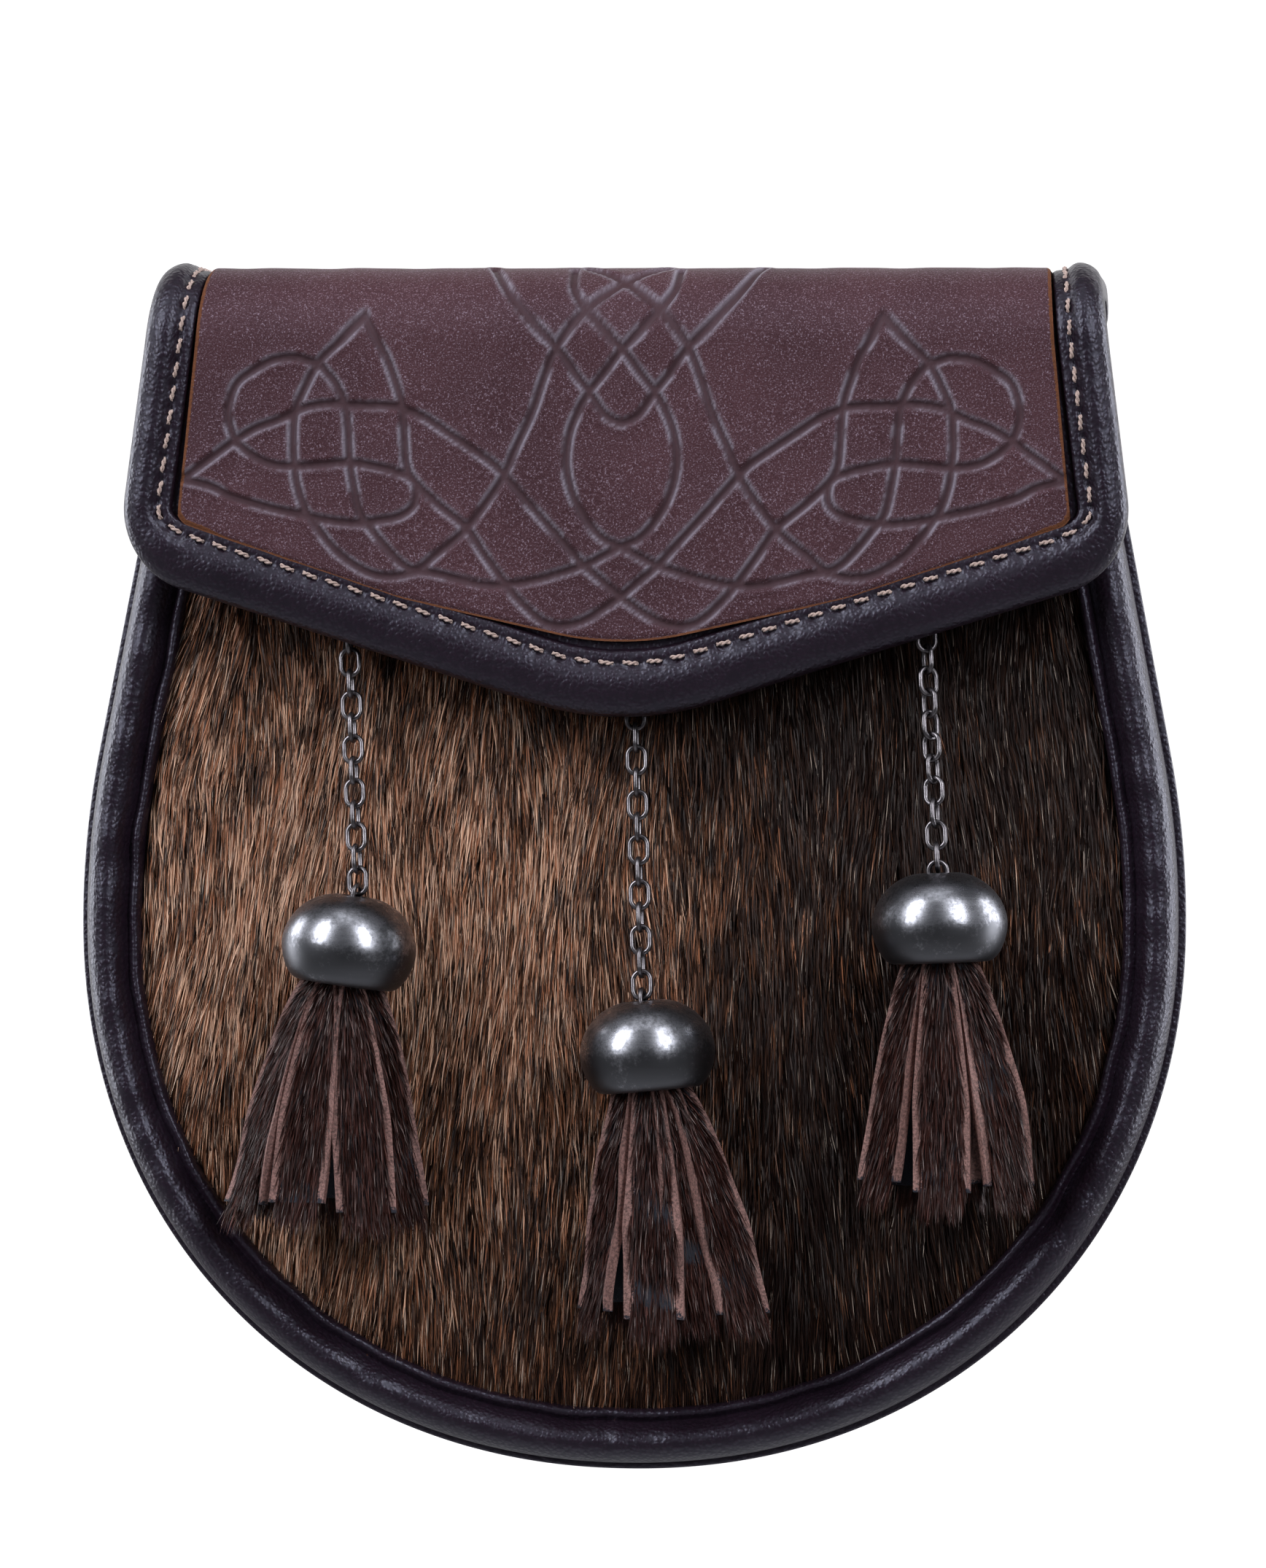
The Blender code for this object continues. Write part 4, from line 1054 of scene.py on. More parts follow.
def make_walls():
    """The gusset round the sides and the back panel, with their seams."""
    sizes = bpy.context.scene.pouch_sizes
    path = pouch_line(WALL_STEP)
    normal = inward(path)
    depth = np.linspace(0, 1, 19)
    round_off = 0.35 * (1 - np.clip(np.minimum(depth, 1 - depth) / 0.03, 0, 1)) ** 2
    sag = 0.9 * np.sin(math.pi * depth) ** 0.8
    outer = SEAM_LIP + round_off + sag
    inner = SEAM_LIP + GUSSET_WALL - round_off + sag
    insets = np.concatenate((outer, inner[::-1]))
    depths = np.concatenate((depth, depth[::-1])) * GUSSET_DEPTH
    grid = path[:, None] + normal[:, None] * insets[None, :, None]
    run = np.arange(len(path)) * WALL_STEP
    field = np.stack(np.meshgrid(run, depths, indexing="ij"), axis=-1).reshape(-1, 2)
    wave = (0.28 * ripple(field / (1.0, 1.6), 15.0, 14)).reshape(grid.shape[:2])
    wave *= np.sin(math.pi * depths / GUSSET_DEPTH)[None] ** 0.5
    grid = grid + normal[:, None] * wave[..., None]
    pattern = Pattern()
    pattern.tube(standing(grid[..., 0], np.minimum(grid[..., 1], MOUTH_Z),
                          np.broadcast_to(depths[None], grid.shape[:2]), GUSSET_BACK_Y))
    add_piece("gusset_leather", pattern, "body_leather", "body_leather", "gusset", sharp=60)

    outline = np.vstack((path + normal * SEAM_LIP, [[0.0, MOUTH_Z]]))
    outline[:, 1] = np.minimum(outline[:, 1], MOUTH_Z)
    outline = np.vstack((outline[:-1], evenly((outline[-2], outline[0]), WALL_STEP)[1:-1]))
    section = np.array(((0.9, 0.0), (0.35, 0.08), (0.08, 0.3), (0.0, 0.7), (0.0, 1.5),
                        (0.12, 1.95), (0.5, 2.2), (1.2, 2.2)))
    back = Pattern()
    turned = inward(outline, closed=True)
    rings = outline[None] + turned[None] * section[:, None, :1]
    rings[..., 1] = np.minimum(rings[..., 1], MOUTH_Z)
    high = np.broadcast_to(section[:, 1:], rings.shape[:2])
    back.tube(standing(rings[..., 0], rings[..., 1], high, BACK_FACE_Y))
    add_piece("back_leather", back, "body_leather", "body_leather", "back_panel", sharp=60)

    seams = Pattern()
    for share in (0.12, 0.88):
        line = path + normal * (SEAM_LIP + 0.9 * math.sin(math.pi * share) ** 0.8 - 0.02)
        high = np.full(len(path), GUSSET_DEPTH * share)
        stitches(seams, standing(line[:, 0], line[:, 1], high, GUSSET_BACK_Y),
                 np.stack((-normal[:, 0], 0 * high, -normal[:, 1]), axis=1),
                 sizes.stitch / MM, sizes.thread / MM, lift=0.12, steps=7, sides=5)
    line = path + normal * (SEAM_LIP + 4.0)
    stitches(seams, standing(line[:, 0], line[:, 1], 0 * line[:, 0], BACK_FACE_Y),
             np.tile((0.0, 1.0, 0.0), (len(line), 1)), sizes.stitch / MM, sizes.thread / MM,
             lift=0.12, steps=7, sides=5)
    add_piece("wall_stitches", seams, "thread", "body_leather", "gusset")


def seam_inset(normal):
    """Way in from the flap's edge to its stitches, by the way the edge faces."""
    share = soft_step(np.abs(normal[:, 1]), 0.05, 0.9)
    return SEAM_SIDE + (SEAM_BOTTOM - SEAM_SIDE) * share


def relaxed(values, times):
    """Values round a closed line, each drawn towards its neighbours."""
    for _ in range(times):
        values = (np.roll(values, 1, axis=0) + 2 * values + np.roll(values, -1, axis=0)) / 4
    return values


def cut_and_fold(mesh, spacing):
    """Cuts the flap's flat mesh where it bends, then folds it over the pouch."""
    work = bmesh.new()
    work.from_mesh(mesh)
    for start in (FOLD_START, FOLD_START + FOLD_LENGTH + TOP_RUN):
        for place in np.arange(0, FOLD_LENGTH + spacing / 2, spacing):
            bmesh.ops.bisect_plane(
                work, geom=work.verts[:] + work.edges[:] + work.faces[:], dist=1e-6,
                plane_co=(0, (start + place) * MM, 0), plane_no=(0, 1, 0))
    flat = np.array([corner.co[:] for corner in work.verts]) / MM
    for corner, place in zip(work.verts, folded(flat) * MM):
        corner.co = place
    bmesh.ops.recalc_face_normals(work, faces=work.faces)
    work.to_mesh(mesh)
    work.free()


def make_flap():
    """The folded flap with its padded edge, drawn in at every stitch."""
    sizes = bpy.context.scene.pouch_sizes
    edge = pattern_outline(FLAP_CORNERS, FLAP_STEP)
    normal = unit(relaxed(inward(edge, closed=True), 6))
    seam = relaxed(seam_inset(normal), 20)
    tail = soft_step(edge[:, 1], PATTERN_END - 22, PATTERN_END - 8)
    seam = seam * (1 - 0.35 * tail)
    roll = smooth_line([(5.5 * share, high) for share, high in FLAP_ROLL], 0.31) / (5.5, 1.0)
    shares, heights = roll[:, 0], roll[:, 1]
    inset = np.where(shares <= 1, seam[:, None] * shares,
                     seam[:, None] + (shares - 1) * SEAM_SIDE)
    run = np.arange(len(edge)) * FLAP_STEP
    fade = 1 - tail[:, None] * (1 - 2.0 / np.maximum(heights, 2.0))[None]
    high = heights[None] * fade
    crest = np.exp(-(((shares - 0.57) / 0.3) ** 2))[None]
    high = high + crest * (0.09 * ripple(run[:, None], 14.0, 21)[:, None]
                           + 0.03 * ripple(run[:, None], 5.0, 22)[:, None])
    count = max(1, round(len(edge) * FLAP_STEP / (sizes.stitch / MM)))
    phase = run / run[-1] * count * 2 * math.pi
    pucker = np.exp(-(((shares - 0.93) / 0.13) ** 2))[None]
    high = high - pucker * (0.13 * (1 + np.cos(phase))[:, None])
    near = np.exp(-(((shares - 1.0) / 0.045) ** 2))[None]
    high = high - near * (0.7 * (0.5 + 0.5 * np.cos(phase))[:, None] ** 6)
    inset[:, 0] = 0.0
    grid = edge[:, None] + normal[:, None] * inset[..., None]
    flat = np.concatenate((grid, high[..., None]), axis=-1)
    rows, columns = flat.shape[:2]
    pattern = Pattern()
    last = np.arange(rows) * columns + columns - 1
    first = np.arange(rows) * columns
    pattern.add(flat, grid_faces(rows, columns, wrap_rows=True), last[None], first[None, ::-1])
    mesh = pattern.mesh("flap_leather")
    cut_and_fold(mesh, FOLD_LENGTH / 16)
    flap = add_piece("flap_leather", mesh, "body_leather", "body_leather", "flap")

    line = edge + normal * seam[:, None]
    closed = np.vstack((line, line[:1]))
    sewn = folded(np.column_stack((closed, np.full(len(closed), SEWN_HEIGHT))))
    above = folded(np.column_stack((closed, np.full(len(closed), SEWN_HEIGHT + 1)))) - sewn
    threads = Pattern()
    stitches(threads, sewn, above, sizes.stitch / MM, sizes.thread / MM, show=0.70, dip=0.6)
    add_piece("flap_stitches", threads, "thread", "body_leather", "flap")


def interlace():
    """All pressed lines of the panel as points a little apart, both halves."""
    lines = [smooth_line(line, 0.3) for line in INTERLACE.values()]
    lines += [line * (-1.0, 1.0) for line in lines]
    return np.vstack(lines)


def line_offsets(points, lines, block=2500):
    """Way from each point to the nearest pressed line, and the unit way away from it."""
    offsets, aways = [], []
    for part in np.array_split(points, max(1, len(points) // block)):
        gap = part[:, None] - lines[None]
        square = (gap**2).sum(-1)
        best = square.argmin(1)
        distance = np.sqrt(square[np.arange(len(part)), best])
        offsets.append(distance)
        aways.append(gap[np.arange(len(part)), best] / np.maximum(distance, 1e-6)[:, None])
    return np.concatenate(offsets), np.vstack(aways)


def make_panel():
    """The overlaid panel with its pressed interlace and its raw edge."""
    sizes = bpy.context.scene.pouch_sizes
    depth = sizes.groove_depth / MM
    outline = pattern_outline(PANEL_CORNERS, PANEL_STEP)
    top_half, top_edge, _ = PANEL_CORNERS[1]
    foot_half, foot_up, _ = PANEL_CORNERS[3]
    lower = outline[outline[:, 1] < -4.0]
    order = np.argsort(lower[:, 0])
    lower = evenly(lower[order], 0.1)
    columns = 404
    rows = 130
    run = np.linspace(0, len(lower) - 1, columns)
    bottom = np.stack([np.interp(run, np.arange(len(lower)), axis) for axis in lower.T], axis=1)
    spread = np.linspace(-1, 1, columns)
    spread = 0.5 * spread + 0.5 * bottom[:, 0] / foot_half
    ups = np.linspace(0, 1, rows)
    ends = (foot_half, top_half)
    width = np.interp(PANEL_SPLIT, (foot_up, FOLD_START + FOLD_LENGTH), ends)
    top = np.stack((spread * width, np.full(columns, PANEL_SPLIT)), axis=1)
    body = bottom[None] * (1 - ups)[:, None, None] + top[None] * ups[:, None, None]
    extra = np.concatenate((np.linspace(PANEL_SPLIT, top_edge - 2, 24)[1:],
                            (top_edge - 0.8, top_edge)))
    over = np.stack(np.broadcast_arrays(
        spread[None]
        * np.interp(extra, (PANEL_SPLIT, FOLD_START + FOLD_LENGTH), (width, top_half))[:, None],
        extra[:, None]), axis=-1)
    face = np.concatenate((body, over))
    flat = face.reshape(-1, 2)
    lines = interlace()
    offset, away = line_offsets(flat, lines)
    snap = 0.2
    inner = np.zeros(face.shape[:2], bool)
    inner[2:-2, 2:-2] = True
    inner = inner.ravel()
    for level in GROOVE:
        close = inner & (np.abs(offset - level) < snap)
        move = level - offset[close]
        flat[close] += away[close] * move[:, None]
        offset[close] = level
    wall = soft_step(offset, *GROOVE_WALL)
    lip = 0.13 * np.exp(-(((offset - 1.2) / 0.42) ** 2))
    from_edge = edge_distance(flat, outline)
    high = PANEL_LOW + PANEL_THICKNESS - depth * (1 - wall) + lip
    high -= 0.55 * np.exp(-((from_edge / 0.45) ** 2))
    high += 0.06 * ripple(flat, 9.0, 41)
    sides = soft_step(np.abs(flat[:, 0]), 66, 71)
    raw = np.exp(-((from_edge / (0.42 + 0.55 * sides)) ** 2)) * 1.15
    # Painted highlight along the walls of the pressed lines: broken up, and strongest on walls
    # that face left or right, where the lights are
    broken = soft_step(ripple(flat, 8.0, 43) + 0.3 * ripple(flat, 1.3, 44), -1.1, 0.3)
    painted_highlight = np.exp(-(((offset - 0.84) / 0.26) ** 2)) * broken * (0.25 + 0.75 * np.abs(away[:, 0]))
    rows, columns = face.shape[:2]
    pattern = Pattern()
    points = folded(np.column_stack((flat, high)))
    pattern.add(points, grid_faces(rows, columns), pressed=1 - wall, raw=np.clip(raw, 0, 1),
                rubbed=painted_highlight)
    index = np.arange(rows * columns).reshape(rows, columns)
    rim = np.concatenate((index[0], index[1:, -1], index[-1, -2::-1], index[-2:0:-1, 0]))
    skirt = folded(np.column_stack((flat[rim], np.full(len(rim), PANEL_LOW + 0.05))))
    base = pattern.count
    pattern.add(skirt, pressed=0.0, raw=1.0, rubbed=0.0)
    around = np.arange(len(rim))
    pattern.faces.setdefault(4, []).append(np.stack(
        (rim, rim[(around + 1) % len(rim)], base + (around + 1) % len(rim), base + around),
        axis=1))
    under = folded(np.column_stack((flat, np.full(len(flat), PANEL_LOW + 0.05))))
    coarse_rows = np.unique(np.concatenate((np.arange(0, rows, 6), [rows - 1])))
    coarse_columns = np.unique(np.concatenate((np.arange(0, columns, 12), [columns - 1])))
    chosen = index[np.ix_(coarse_rows, coarse_columns)]
    pattern.add(under[chosen.ravel()], grid_faces(*chosen.shape)[:, ::-1], pressed=0.0, raw=0.0,
                rubbed=0.0)
    mesh = pattern.mesh("panel_face", outwards=False)
    add_piece("panel_face", mesh, "panel_leather", "panel_leather", "flap_panel")


def make_belt_loops():
    """Leather loops on the back that a strap goes through."""
    sizes = bpy.context.scene.pouch_sizes
    leather, threads = Pattern(), Pattern()
    route = smooth_line(((-2.2, 18.0), (-2.15, 15.5), (-1.9, 13.2), (0.6, 12.0), (2.55, 10.6),
                         (2.75, 7.0), (2.75, 0.0), (2.75, -7.0), (2.55, -10.6), (0.6, -12.0),
                         (-1.9, -13.2), (-2.15, -15.5), (-2.2, -18.0)), 0.6)
    normal = inward(route)
    half = LOOP_HALF
    across = np.array((-half, -half + 0.15, -half + 0.6, -4.0, 4.0, half - 0.6, half - 0.15, half))
    low = np.array((0.6, 0.25, 0.05, 0.0, 0.0, 0.05, 0.25, 0.6))
    section = np.concatenate((np.column_stack((across, low)),
                              np.column_stack((across[::-1], LOOP_LEATHER - low[::-1]))))
    for side in (-1, 1):
        out = route[:, None] - normal[:, None] * section[None, :, 1:]
        grid = np.stack((np.broadcast_to(side * LOOP_X + section[None, :, 0], out.shape[:2]),
                         out[..., 0], out[..., 1]), axis=-1)
        leather.tube(grid)
        for top in (1, -1):
            for z in (15.8, 14.3):
                x = np.linspace(-8.5, 8.5, 30) + side * LOOP_X
                line = np.stack((x, np.full(30, 0.2), np.full(30, top * z)), axis=1)
                stitches(threads, line, np.tile((0.0, 1.0, 0.0), (30, 1)),
                         sizes.stitch / MM * 0.85, sizes.thread / MM, lift=0.1)
    add_piece("belt_loops", leather, "body_leather", "body_leather",
              "belt_loop_left", "belt_loop_right", sharp=60)
    add_piece("belt_loop_stitches", threads, "thread", "body_leather", "belt_loop_left")


def lathe(pattern, profile, matrix, steps, **marks):
    """A turned body: its closed section of (radius, height) runs round the axis."""
    turn = np.linspace(0, 2 * math.pi, steps, endpoint=False)
    ring = np.array(profile, float)
    grid = np.stack((ring[None, :, 0] * np.cos(turn)[:, None],
                     ring[None, :, 0] * np.sin(turn)[:, None],
                     np.broadcast_to(ring[None, :, 1], (steps, len(ring)))), axis=-1)
    marks = {key: np.tile(values, steps) for key, values in marks.items()}
    pattern.tube(placed(grid, matrix), closed_rows=True, **marks)


def placed(points, matrix):
    spin = np.array(matrix.to_3x3())
    return points @ spin.T + np.array(matrix.translation)


def make_closure():
    """The press stud between the fur front and the flap."""
    low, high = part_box("snap_closure")
    x, z = (low[0] + high[0]) / 2 / MM, (low[2] + high[2]) / 2 / MM
    front, back = low[1] / MM, high[1] / MM
    depth = back - front
    ring = np.array(((4.6, 0.0), (5.6, 0.25), (5.8, 0.7), (5.4, 1.1), (4.2, 1.4), (3.3, 1.9),
                     (3.1, depth - 2.2), (3.6, depth - 1.6), (5.0, depth - 1.2),
                     (5.8, depth - 0.8), (5.8, depth - 0.3), (5.3, depth)))
    turn = np.linspace(0, 2 * math.pi, 48, endpoint=False)
    grid = np.stack((x + ring[:, None, 0] * np.cos(turn), back - ring[:, None, 1] + 0 * turn,
                     z + ring[:, None, 0] * np.sin(turn)), axis=-1)
    pattern = Pattern()
    pattern.tube(grid)
    add_piece("press_stud", pattern, "nickel", "metal", "snap_closure", sharp=40)


def wire_loop(width, length, steps=26, round_steps=10):
    """A link of wire in the XZ plane, longer along Z, about its centre."""
    turn = np.linspace(0, 2 * math.pi, steps, endpoint=False) + math.pi / steps
    spin = np.linspace(0, 2 * math.pi, round_steps, endpoint=False)
    middle = (width - WIRE) / 2
    radius = middle + WIRE / 2 * np.cos(spin)[None]
    across = np.cos(turn)[:, None] * radius
    up = np.sin(turn)[:, None] * radius
    up = up + np.sign(np.sin(turn))[:, None] * (length - width) / 2
    back = np.broadcast_to(WIRE / 2 * np.sin(spin)[None], across.shape)
    return np.stack((across, back, up), axis=-1)


def frame_along(middle, direction):
    up = direction.normalized()
    back = up.cross(Vector((1, 0, 0))).normalized()
    axes = Matrix((back.cross(up), back, up)).transposed().to_4x4()
    return Matrix.Translation(middle) @ axes


def cap_matrix(name):
    """Axes of a tassel cap, in mm."""
    share_x, share_z, tilt = CAPS[name]
    low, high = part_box(f"tassel_cap_{name}")
    centre = Vector((share_x * HALF_WIDTH, (low[1] + high[1]) / 2 / MM,
                     WIDEST_Z + share_z * DROP))
    return Matrix.Translation(centre) @ Matrix.Rotation(tilt, 4, "Y")


def make_chains():
    """Round wire links from the staples under the flap down to the tassels."""
    for name, (corners, count, twist) in CHAINS.items():
        corners = [Vector(corner) for corner in corners]
        first = (corners[1] - corners[0]).length
        second = (corners[2] - corners[1]).length
        pitch = (first + second) / count

        def at(run):
            if run < first:
                return corners[0].lerp(corners[1], run / first)
            return corners[1].lerp(corners[2], (run - first) / second)

        links = Pattern()
        for index in range(count):
            upper, lower = at(pitch * index), at(pitch * (index + 1))
            turn = math.pi / 2 * (index + 1) + twist * index / (count - 1)
            matrix = frame_along((upper + lower) / 2, upper - lower)
            matrix = matrix @ Matrix.Rotation(turn, 4, "Z")
            links.tube(placed(wire_loop(LINK_WIDTH, pitch + 2 * WIRE - 0.06), matrix),
                       closed_rows=True)
        add_piece(f"links_{name}", links, "chain_metal", "metal", f"chain_{name}")

        low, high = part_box(f"chain_staple_{name}")
        x, z = (low[0] + high[0]) / 2 / MM, (low[2] + high[2]) / 2 / MM
        bar, plate = low[1] / MM + WIRE / 2, high[1] / MM
        route = smooth_line(((x - 2, plate - 0.3, z), (x - 2, bar + 0.9, z), (x - 1.5, bar, z),
                             (x + 1.5, bar, z), (x + 2, bar + 0.9, z), (x + 2, plate - 0.3, z)),
                            0.25)
        way = unit(np.gradient(route, axis=0))
        side = np.tile((0.0, 0.0, 1.0), (len(route), 1))
        other = np.cross(way, side)
        spin = np.linspace(0, 2 * math.pi, 10, endpoint=False)
        ring = route[:, None] + WIRE / 2 * (np.cos(spin)[None, :, None] * side[:, None]
                                            + np.sin(spin)[None, :, None] * other[:, None])
        staple = Pattern()
        staple.tube(ring)
        turn = np.linspace(0, 2 * math.pi, 28, endpoint=False)
        square = np.stack((np.sign(np.cos(turn)) * np.abs(np.cos(turn)) ** 0.35,
                           np.sign(np.sin(turn)) * np.abs(np.sin(turn)) ** 0.35), axis=1)
        rows = np.array(((3.2, 0.0), (3.5, 0.2), (3.5, 0.6), (3.2, 0.8)))
        grid = np.stack((x + rows[:, None, 0] * square[None, :, 0],
                         plate - rows[:, None, 1] + 0 * square[None, :, 0],
                         z + rows[:, None, 0] * square[None, :, 1]), axis=-1)
        staple.tube(grid)
        add_piece(f"staple_{name}", staple, "chain_metal", "metal", f"chain_staple_{name}",
                  sharp=50)


def make_caps():
    """Squat metal bells, open below, with a hole for the tassel's eye."""
    half = CAP_HEIGHT / 2
    outer = smooth_line([(CAP_RADIUS * wide, half * up) for wide, up in CAP_PROFILE], 0.45)
    way = unit(np.gradient(outer, axis=0))
    inner = outer + np.stack((way[:, 1], -way[:, 0]), axis=1) * CAP_WALL
    lip = np.array(((outer[-1] + inner[-1]) / 2 + way[-1] * 0.3,))
    collar = np.array(((outer[0] + inner[0]) / 2 - way[0] * 0.25,))
    section = np.vstack((outer, lip, inner[::-1], collar))
    for name in CAPS:
        pattern = Pattern()
        # The low mark darkens the lower half of each bell in its finish: painted shade
        lathe(pattern, section, cap_matrix(name), CAP_STEPS,
              low=soft_step(-section[:, 1], -0.15 * half, 0.45 * half))
        add_piece(f"bell_{name}", pattern, "nickel", "metal", f"tassel_cap_{name}", sharp=60)


def strip_points(row, down, across):
    """Points on the middle sheet of a tassel strip and the way its fur faces there."""
    foot_x, foot_y, facing, width, share = row
    facing = math.radians(facing)
    out = down**0.62
    middle_x = STRIP_ROOT_RADIUS * math.sin(facing) * (1 - out) + foot_x * out
    middle_y = -STRIP_ROOT_RADIUS * math.cos(facing) * (1 - out) + foot_y * out
    half = (STRIP_ROOT_WIDTH + (width - STRIP_ROOT_WIDTH) * np.minimum(1, down * 1.6)) / 2
    cupped = -0.45 * (1 - across**2)
    points = np.stack((
        middle_x + across * half * math.cos(facing) + cupped * math.sin(facing),
        middle_y + across * half * math.sin(facing) - cupped * math.cos(facing),
        2.0 * (1 - down) - STRIP_LENGTH * share * down * 0.93), axis=-1)
    away = np.stack((np.full(points.shape[:-1], math.sin(facing)),
                     np.full(points.shape[:-1], -math.cos(facing)),
                     np.full(points.shape[:-1], 0.12)), axis=-1)
    return points, away / np.linalg.norm(away, axis=-1)[..., None]


def strip_field(order, down, across):
    """Places on the strips of a tassel laid out side by side, for its random fields."""
    return np.stack((across * 4 + order * 31, down * 36), axis=-1).reshape(-1, 2)


def strip_bend(flat, number):
    return 0.55 * ripple(flat, 17.0, 60 + number)


def make_tassel(name, number):
    """Strips of pelt that hang out of a cap, with their hairs and the wire eye."""
    sizes = bpy.context.scene.pouch_sizes
    matrix = cap_matrix(name)
    floor = GAP - CAP_HEIGHT / 2
    mouth = np.array(matrix @ Vector((0, 0, floor)))
    dice = np.random.default_rng(90 + number)
    strips, hairs, hair_faces, tones, frosts = Pattern(), [], [], [], []
    count = 0
    for order, row in enumerate(STRIPS[name]):
        down, across = np.meshgrid(np.linspace(0, 1, 26) ** 1.3, np.linspace(-1, 1, 9),
                                   indexing="ij")
        points, away = strip_points(row, down, across)
        flat = strip_field(order, down, across)
        bend = strip_bend(flat, number).reshape(down.shape) * down
        points = points + away * bend[..., None] + mouth
        front = points + away * (STRIP_HALF + 0.25 * across[..., None] ** 8)
        back = points - away * STRIP_HALF
        ring = np.concatenate((front, back[:, ::-1]), axis=1)
        cut = np.zeros(ring.shape[:2])
        last = down.shape[1] - 1
        cut[:, (1, last - 1, last + 2, -2)] = 0.5
        cut[:, (0, last, last + 1, -1)] = 1.0
        cut[-1] = 0.25
        strips.tube(ring, cut=cut)
        amount = sizes.tassel_hairs // 1
        seed_down = np.where(dice.uniform(size=amount) < 0.14, dice.uniform(0.9, 1.0, amount),
                             dice.uniform(0.004, 1, amount) ** 0.9)
        seed_across = dice.uniform(-0.74, 0.74, amount)
        spot, out = strip_points(row, seed_down, seed_across)
        below, _ = strip_points(row, np.minimum(seed_down + 0.02, 1.02), seed_across)
        along = unit(below - spot)
        flat = strip_field(order, seed_down, seed_across)
        spot = spot + out * (strip_bend(flat, number) * seed_down)[:, None]
        side = np.cross(along, out)
        near_top = 1 - soft_step(seed_down, 0.0, 0.35)
        sway = dice.normal(0, 0.06, amount) + seed_across * (0.05 + 0.3 * near_top)
        lock = 0.07 * ripple(flat, 3.2, 65 + number)
        along = along + side * (-(sway + lock))[:, None]
        along += out * (dice.uniform(-0.02, 0.07, amount) * (1 + 3 * near_top))[:, None]
        along = unit(along)
        out = unit(out - along * (out * along).sum(1)[:, None])
        length = sizes.tassel_hair_length / MM * dice.uniform(0.6, 1.1, amount)
        length *= 0.55 + 0.45 * soft_step(seed_down, 0.0, 0.3)
        width = sizes.hair_width / MM * dice.uniform(0.6, 1.15, amount)
        root = spot + mouth + out * STRIP_HALF * 0.8
        tone = np.clip(0.46 + dice.normal(0, 0.25, amount) + 0.10 * ripple(flat, 5.0, 66), 0, 1)
        pale = dice.uniform(size=amount) < (0.06 + 0.18 * near_top)
        points, faces = hair_blades(root, along, out, length, width, dice, lift=(9.0, 3.0))
        hairs.append(points)
        hair_faces.append(faces + count)
        count += len(points)
        tones.append(tone)
        frosts.append(pale * dice.uniform(0.3, 0.9, amount))
    head = np.array(((5.4, 5.0), (5.6, 4.6), (5.6, 0.3), (5.3, 0.0)))
    turn = np.linspace(0, 2 * math.pi, 40, endpoint=False)
    grid = np.stack((head[:, None, 0] * np.cos(turn), head[:, None, 0] * np.sin(turn),
                     floor + head[:, None, 1] + 0 * turn), axis=-1)
    strips.tube(placed(grid, matrix), cut=0.0)
    add_piece(f"strips_{name}", strips, "strip_leather", "tassel_fur", f"tassel_{name}", sharp=50)
    mesh = hair_mesh(f"strip_hairs_{name}", np.vstack(hairs), np.vstack(hair_faces),
                     np.concatenate(tones), np.concatenate(frosts))
    add_piece(f"strip_hairs_{name}", mesh, "tassel_fur", "tassel_fur", f"tassel_{name}")
    eye = Pattern()
    low, high = floor + 5.0 - 1.15, CAP_HEIGHT / 2 + 1.9
    turned = matrix @ Matrix.Translation((0, 0, (low + high) / 2)) @ Matrix.Rotation(
        math.pi / 2 + CHAINS[name][2], 4, "Z")
    eye.tube(placed(wire_loop(LINK_WIDTH, high - low + WIRE, 30), turned), closed_rows=True)
    add_piece(f"eye_{name}", eye, "chain_metal", "metal", f"tassel_{name}")


# Stage

VIEW_DISTANCE = 1300.0
VIEW_TURN = math.radians(6.0)
VIEW_ROLL = math.radians(0.35)
VIEW_CENTRE = (0.45, -30.0, -48.5)
VIEW_WIDTH = 213.0
SENSOR = 36.0

# Lights: way round from the front, rise, distance, width, height and watts
LIGHT_CENTRE = (0.0, -30.0, -60.0)
LIGHT_SPREAD = math.radians(80.0)
LIGHTS = {
    "light_left": (-47.0, 31.0, 1500.0, 450.0, 1500.0, 4.9),
    "light_right": (39.0, 31.0, 1500.0, 450.0, 1500.0, 4.05),
    "light_side_left": (-108.0, 8.0, 1500.0, 700.0, 1700.0, 5.5),
    "light_side_right": (108.0, 8.0, 1500.0, 700.0, 1700.0, 6.5),
    "light_top": (0.0, 74.0, 1300.0, 900.0, 700.0, 0.4),
}
SHEET_SIZE = 14000.0
SHEETS = {
    "floor": ((0.0, 0.0, -900.0), (0.0, 0.0, 0.0)),
    "backdrop": ((0.0, 4500.0, 0.0), (math.pi / 2, 0.0, 0.0)),
}


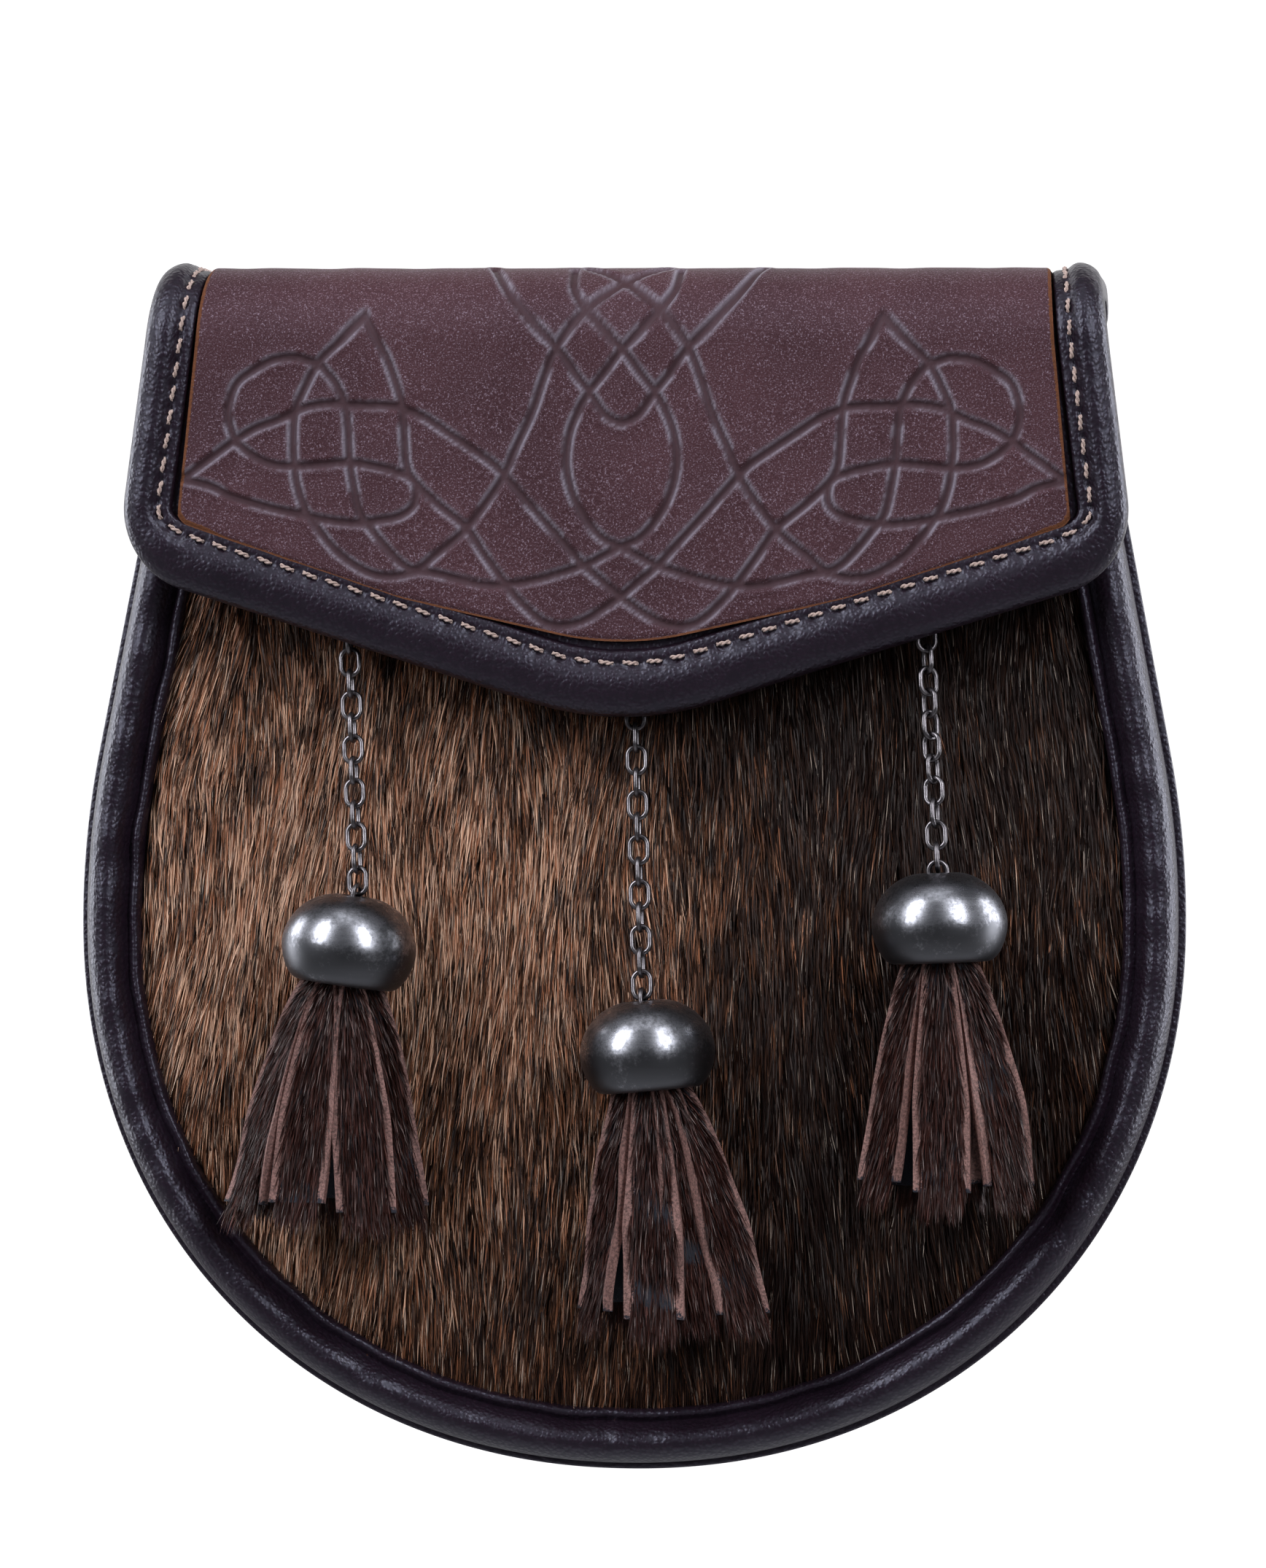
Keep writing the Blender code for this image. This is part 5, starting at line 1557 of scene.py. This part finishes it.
def make_stage():
    """Pale floor and backdrop, tall soft lights, a weak top light and the camera."""
    for name, (place, turn) in SHEETS.items():
        pattern = Pattern()
        half = SHEET_SIZE / 2
        pattern.add(((-half, -half, 0), (half, -half, 0), (half, half, 0), (-half, half, 0)),
                    ((0, 1, 2, 3),))
        sheet = bpy.data.objects.new(name, pattern.mesh(name, outwards=False))
        sheet.location = Vector(place) * MM
        sheet.rotation_euler = turn
        work = Finish(f"{name}_paper", Roughness=0.9, Base_Color=(0.6, 0.6, 0.61, 1.0))
        if name == "backdrop":
            work.shader.inputs["Emission Color"].default_value = (1.0, 1.0, 1.0, 1.0)
            work.shader.inputs["Emission Strength"].default_value = 1.0
        sheet.data.materials.append(work.material)
        bpy.context.scene.collection.objects.link(sheet)
    for name, (azimuth, rise, far, wide, tall, power) in LIGHTS.items():
        lamp = bpy.data.lights.new(name, "AREA")
        lamp.shape = "RECTANGLE"
        lamp.size, lamp.size_y = wide * MM, tall * MM
        lamp.energy = power
        lamp.spread = LIGHT_SPREAD
        lamp.color = (0.92, 0.95, 1.0)
        item = bpy.data.objects.new(name, lamp)
        turn, tilt = math.radians(azimuth), math.radians(rise)
        way = Vector((math.sin(turn) * math.cos(tilt), -math.cos(turn) * math.cos(tilt),
                      math.sin(tilt)))
        item.location = (Vector(LIGHT_CENTRE) + way * far) * MM
        item.rotation_euler = way.to_track_quat("Z", "Y").to_euler()
        bpy.context.scene.collection.objects.link(item)
    world = bpy.data.worlds.new("studio")
    world.use_nodes = True
    world.node_tree.nodes["Background"].inputs["Color"].default_value = (0.9, 0.93, 1.0, 1.0)
    world.node_tree.nodes["Background"].inputs["Strength"].default_value = 0.06
    bpy.context.scene.world = world
    bpy.context.scene.view_settings.view_transform = "Standard"
    camera = bpy.data.cameras.new("camera")
    camera.sensor_fit = "HORIZONTAL"
    camera.sensor_width = SENSOR
    camera.lens = SENSOR * VIEW_DISTANCE / VIEW_WIDTH
    camera.clip_end = 20.0
    item = bpy.data.objects.new("camera", camera)
    away = Vector((math.sin(VIEW_TURN), -math.cos(VIEW_TURN), 0.0))
    item.location = (Vector(VIEW_CENTRE) + away * VIEW_DISTANCE) * MM
    look = away.to_track_quat("Z", "Y").to_matrix().to_4x4()
    item.rotation_euler = (look @ Matrix.Rotation(VIEW_ROLL, 4, "Z")).to_euler()
    bpy.context.scene.collection.objects.link(item)
    bpy.context.scene.camera = item


# Operators


class PouchOperator:
    """What every operator of the pouch shares."""

    bl_options = {"REGISTER", "UNDO"}


class SPORRAN_OT_stage(PouchOperator, bpy.types.Operator):
    """Set up the floor, the backdrop, the lights and the camera"""

    bl_idname = "sporran.stage"
    bl_label = "Stage"

    def execute(self, context):
        make_stage()
        return {"FINISHED"}


class SPORRAN_OT_walls(PouchOperator, bpy.types.Operator):
    """Make the gusset, the back and their seams"""

    bl_idname = "sporran.walls"
    bl_label = "Walls"

    def execute(self, context):
        make_walls()
        return {"FINISHED"}


class SPORRAN_OT_rim(PouchOperator, bpy.types.Operator):
    """Make the padded leather rim"""

    bl_idname = "sporran.rim"
    bl_label = "Rim"

    def execute(self, context):
        make_rim()
        return {"FINISHED"}


class SPORRAN_OT_fur(PouchOperator, bpy.types.Operator):
    """Make the hide of the front and comb its hairs down"""

    bl_idname = "sporran.fur"
    bl_label = "Fur front"

    def execute(self, context):
        make_hide()
        make_fur_front()
        return {"FINISHED"}


class SPORRAN_OT_flap(PouchOperator, bpy.types.Operator):
    """Make the folded flap and its stitches"""

    bl_idname = "sporran.flap"
    bl_label = "Flap"

    def execute(self, context):
        make_flap()
        return {"FINISHED"}


class SPORRAN_OT_panel(PouchOperator, bpy.types.Operator):
    """Make the overlaid panel with its pressed interlace"""

    bl_idname = "sporran.panel"
    bl_label = "Panel"

    def execute(self, context):
        make_panel()
        return {"FINISHED"}


class SPORRAN_OT_belt_loops(PouchOperator, bpy.types.Operator):
    """Make the belt loops on the back"""

    bl_idname = "sporran.belt_loops"
    bl_label = "Belt loops"

    def execute(self, context):
        make_belt_loops()
        return {"FINISHED"}


class SPORRAN_OT_closure(PouchOperator, bpy.types.Operator):
    """Make the press stud under the flap"""

    bl_idname = "sporran.closure"
    bl_label = "Closure"

    def execute(self, context):
        make_closure()
        return {"FINISHED"}


class SPORRAN_OT_chains(PouchOperator, bpy.types.Operator):
    """Make the chains and the staples that hold them"""

    bl_idname = "sporran.chains"
    bl_label = "Chains"

    def execute(self, context):
        make_chains()
        return {"FINISHED"}


class SPORRAN_OT_tassels(PouchOperator, bpy.types.Operator):
    """Make the tassel caps, strips, hairs and eyes"""

    bl_idname = "sporran.tassels"
    bl_label = "Tassels"

    def execute(self, context):
        make_caps()
        for number, name in enumerate(CAPS):
            make_tassel(name, number)
        return {"FINISHED"}


OPERATORS = (
    SPORRAN_OT_stage, SPORRAN_OT_walls, SPORRAN_OT_rim, SPORRAN_OT_fur, SPORRAN_OT_flap,
    SPORRAN_OT_panel, SPORRAN_OT_belt_loops, SPORRAN_OT_closure, SPORRAN_OT_chains,
    SPORRAN_OT_tassels,
)


class SPORRAN_PT_pouch(bpy.types.Panel):
    """Sizes, colours and steps of the pouch"""

    bl_idname = "SPORRAN_PT_pouch"
    bl_label = "Sporran pouch"
    bl_space_type = "VIEW_3D"
    bl_region_type = "UI"
    bl_category = "Sporran"

    def draw(self, context):
        for group in (context.scene.pouch_sizes, context.scene.pouch_colours):
            for key in group.bl_rna.properties.keys():
                if key not in ("rna_type", "name"):
                    self.layout.prop(group, key)
        for operator in OPERATORS:
            self.layout.operator(operator.bl_idname)


CLASSES = (PouchSizes, PouchColours, *OPERATORS, SPORRAN_PT_pouch)


def register():
    for item in CLASSES:
        bpy.utils.register_class(item)
    bpy.types.Scene.pouch_sizes = bpy.props.PointerProperty(type=PouchSizes)
    bpy.types.Scene.pouch_colours = bpy.props.PointerProperty(type=PouchColours)


def unregister():
    del bpy.types.Scene.pouch_colours
    del bpy.types.Scene.pouch_sizes
    for item in reversed(CLASSES):
        bpy.utils.unregister_class(item)


def main():
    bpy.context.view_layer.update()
    register()
    for operator in OPERATORS:
        getattr(bpy.ops.sporran, operator.bl_idname.split(".")[1])()


if __name__ == "__main__":
    main()
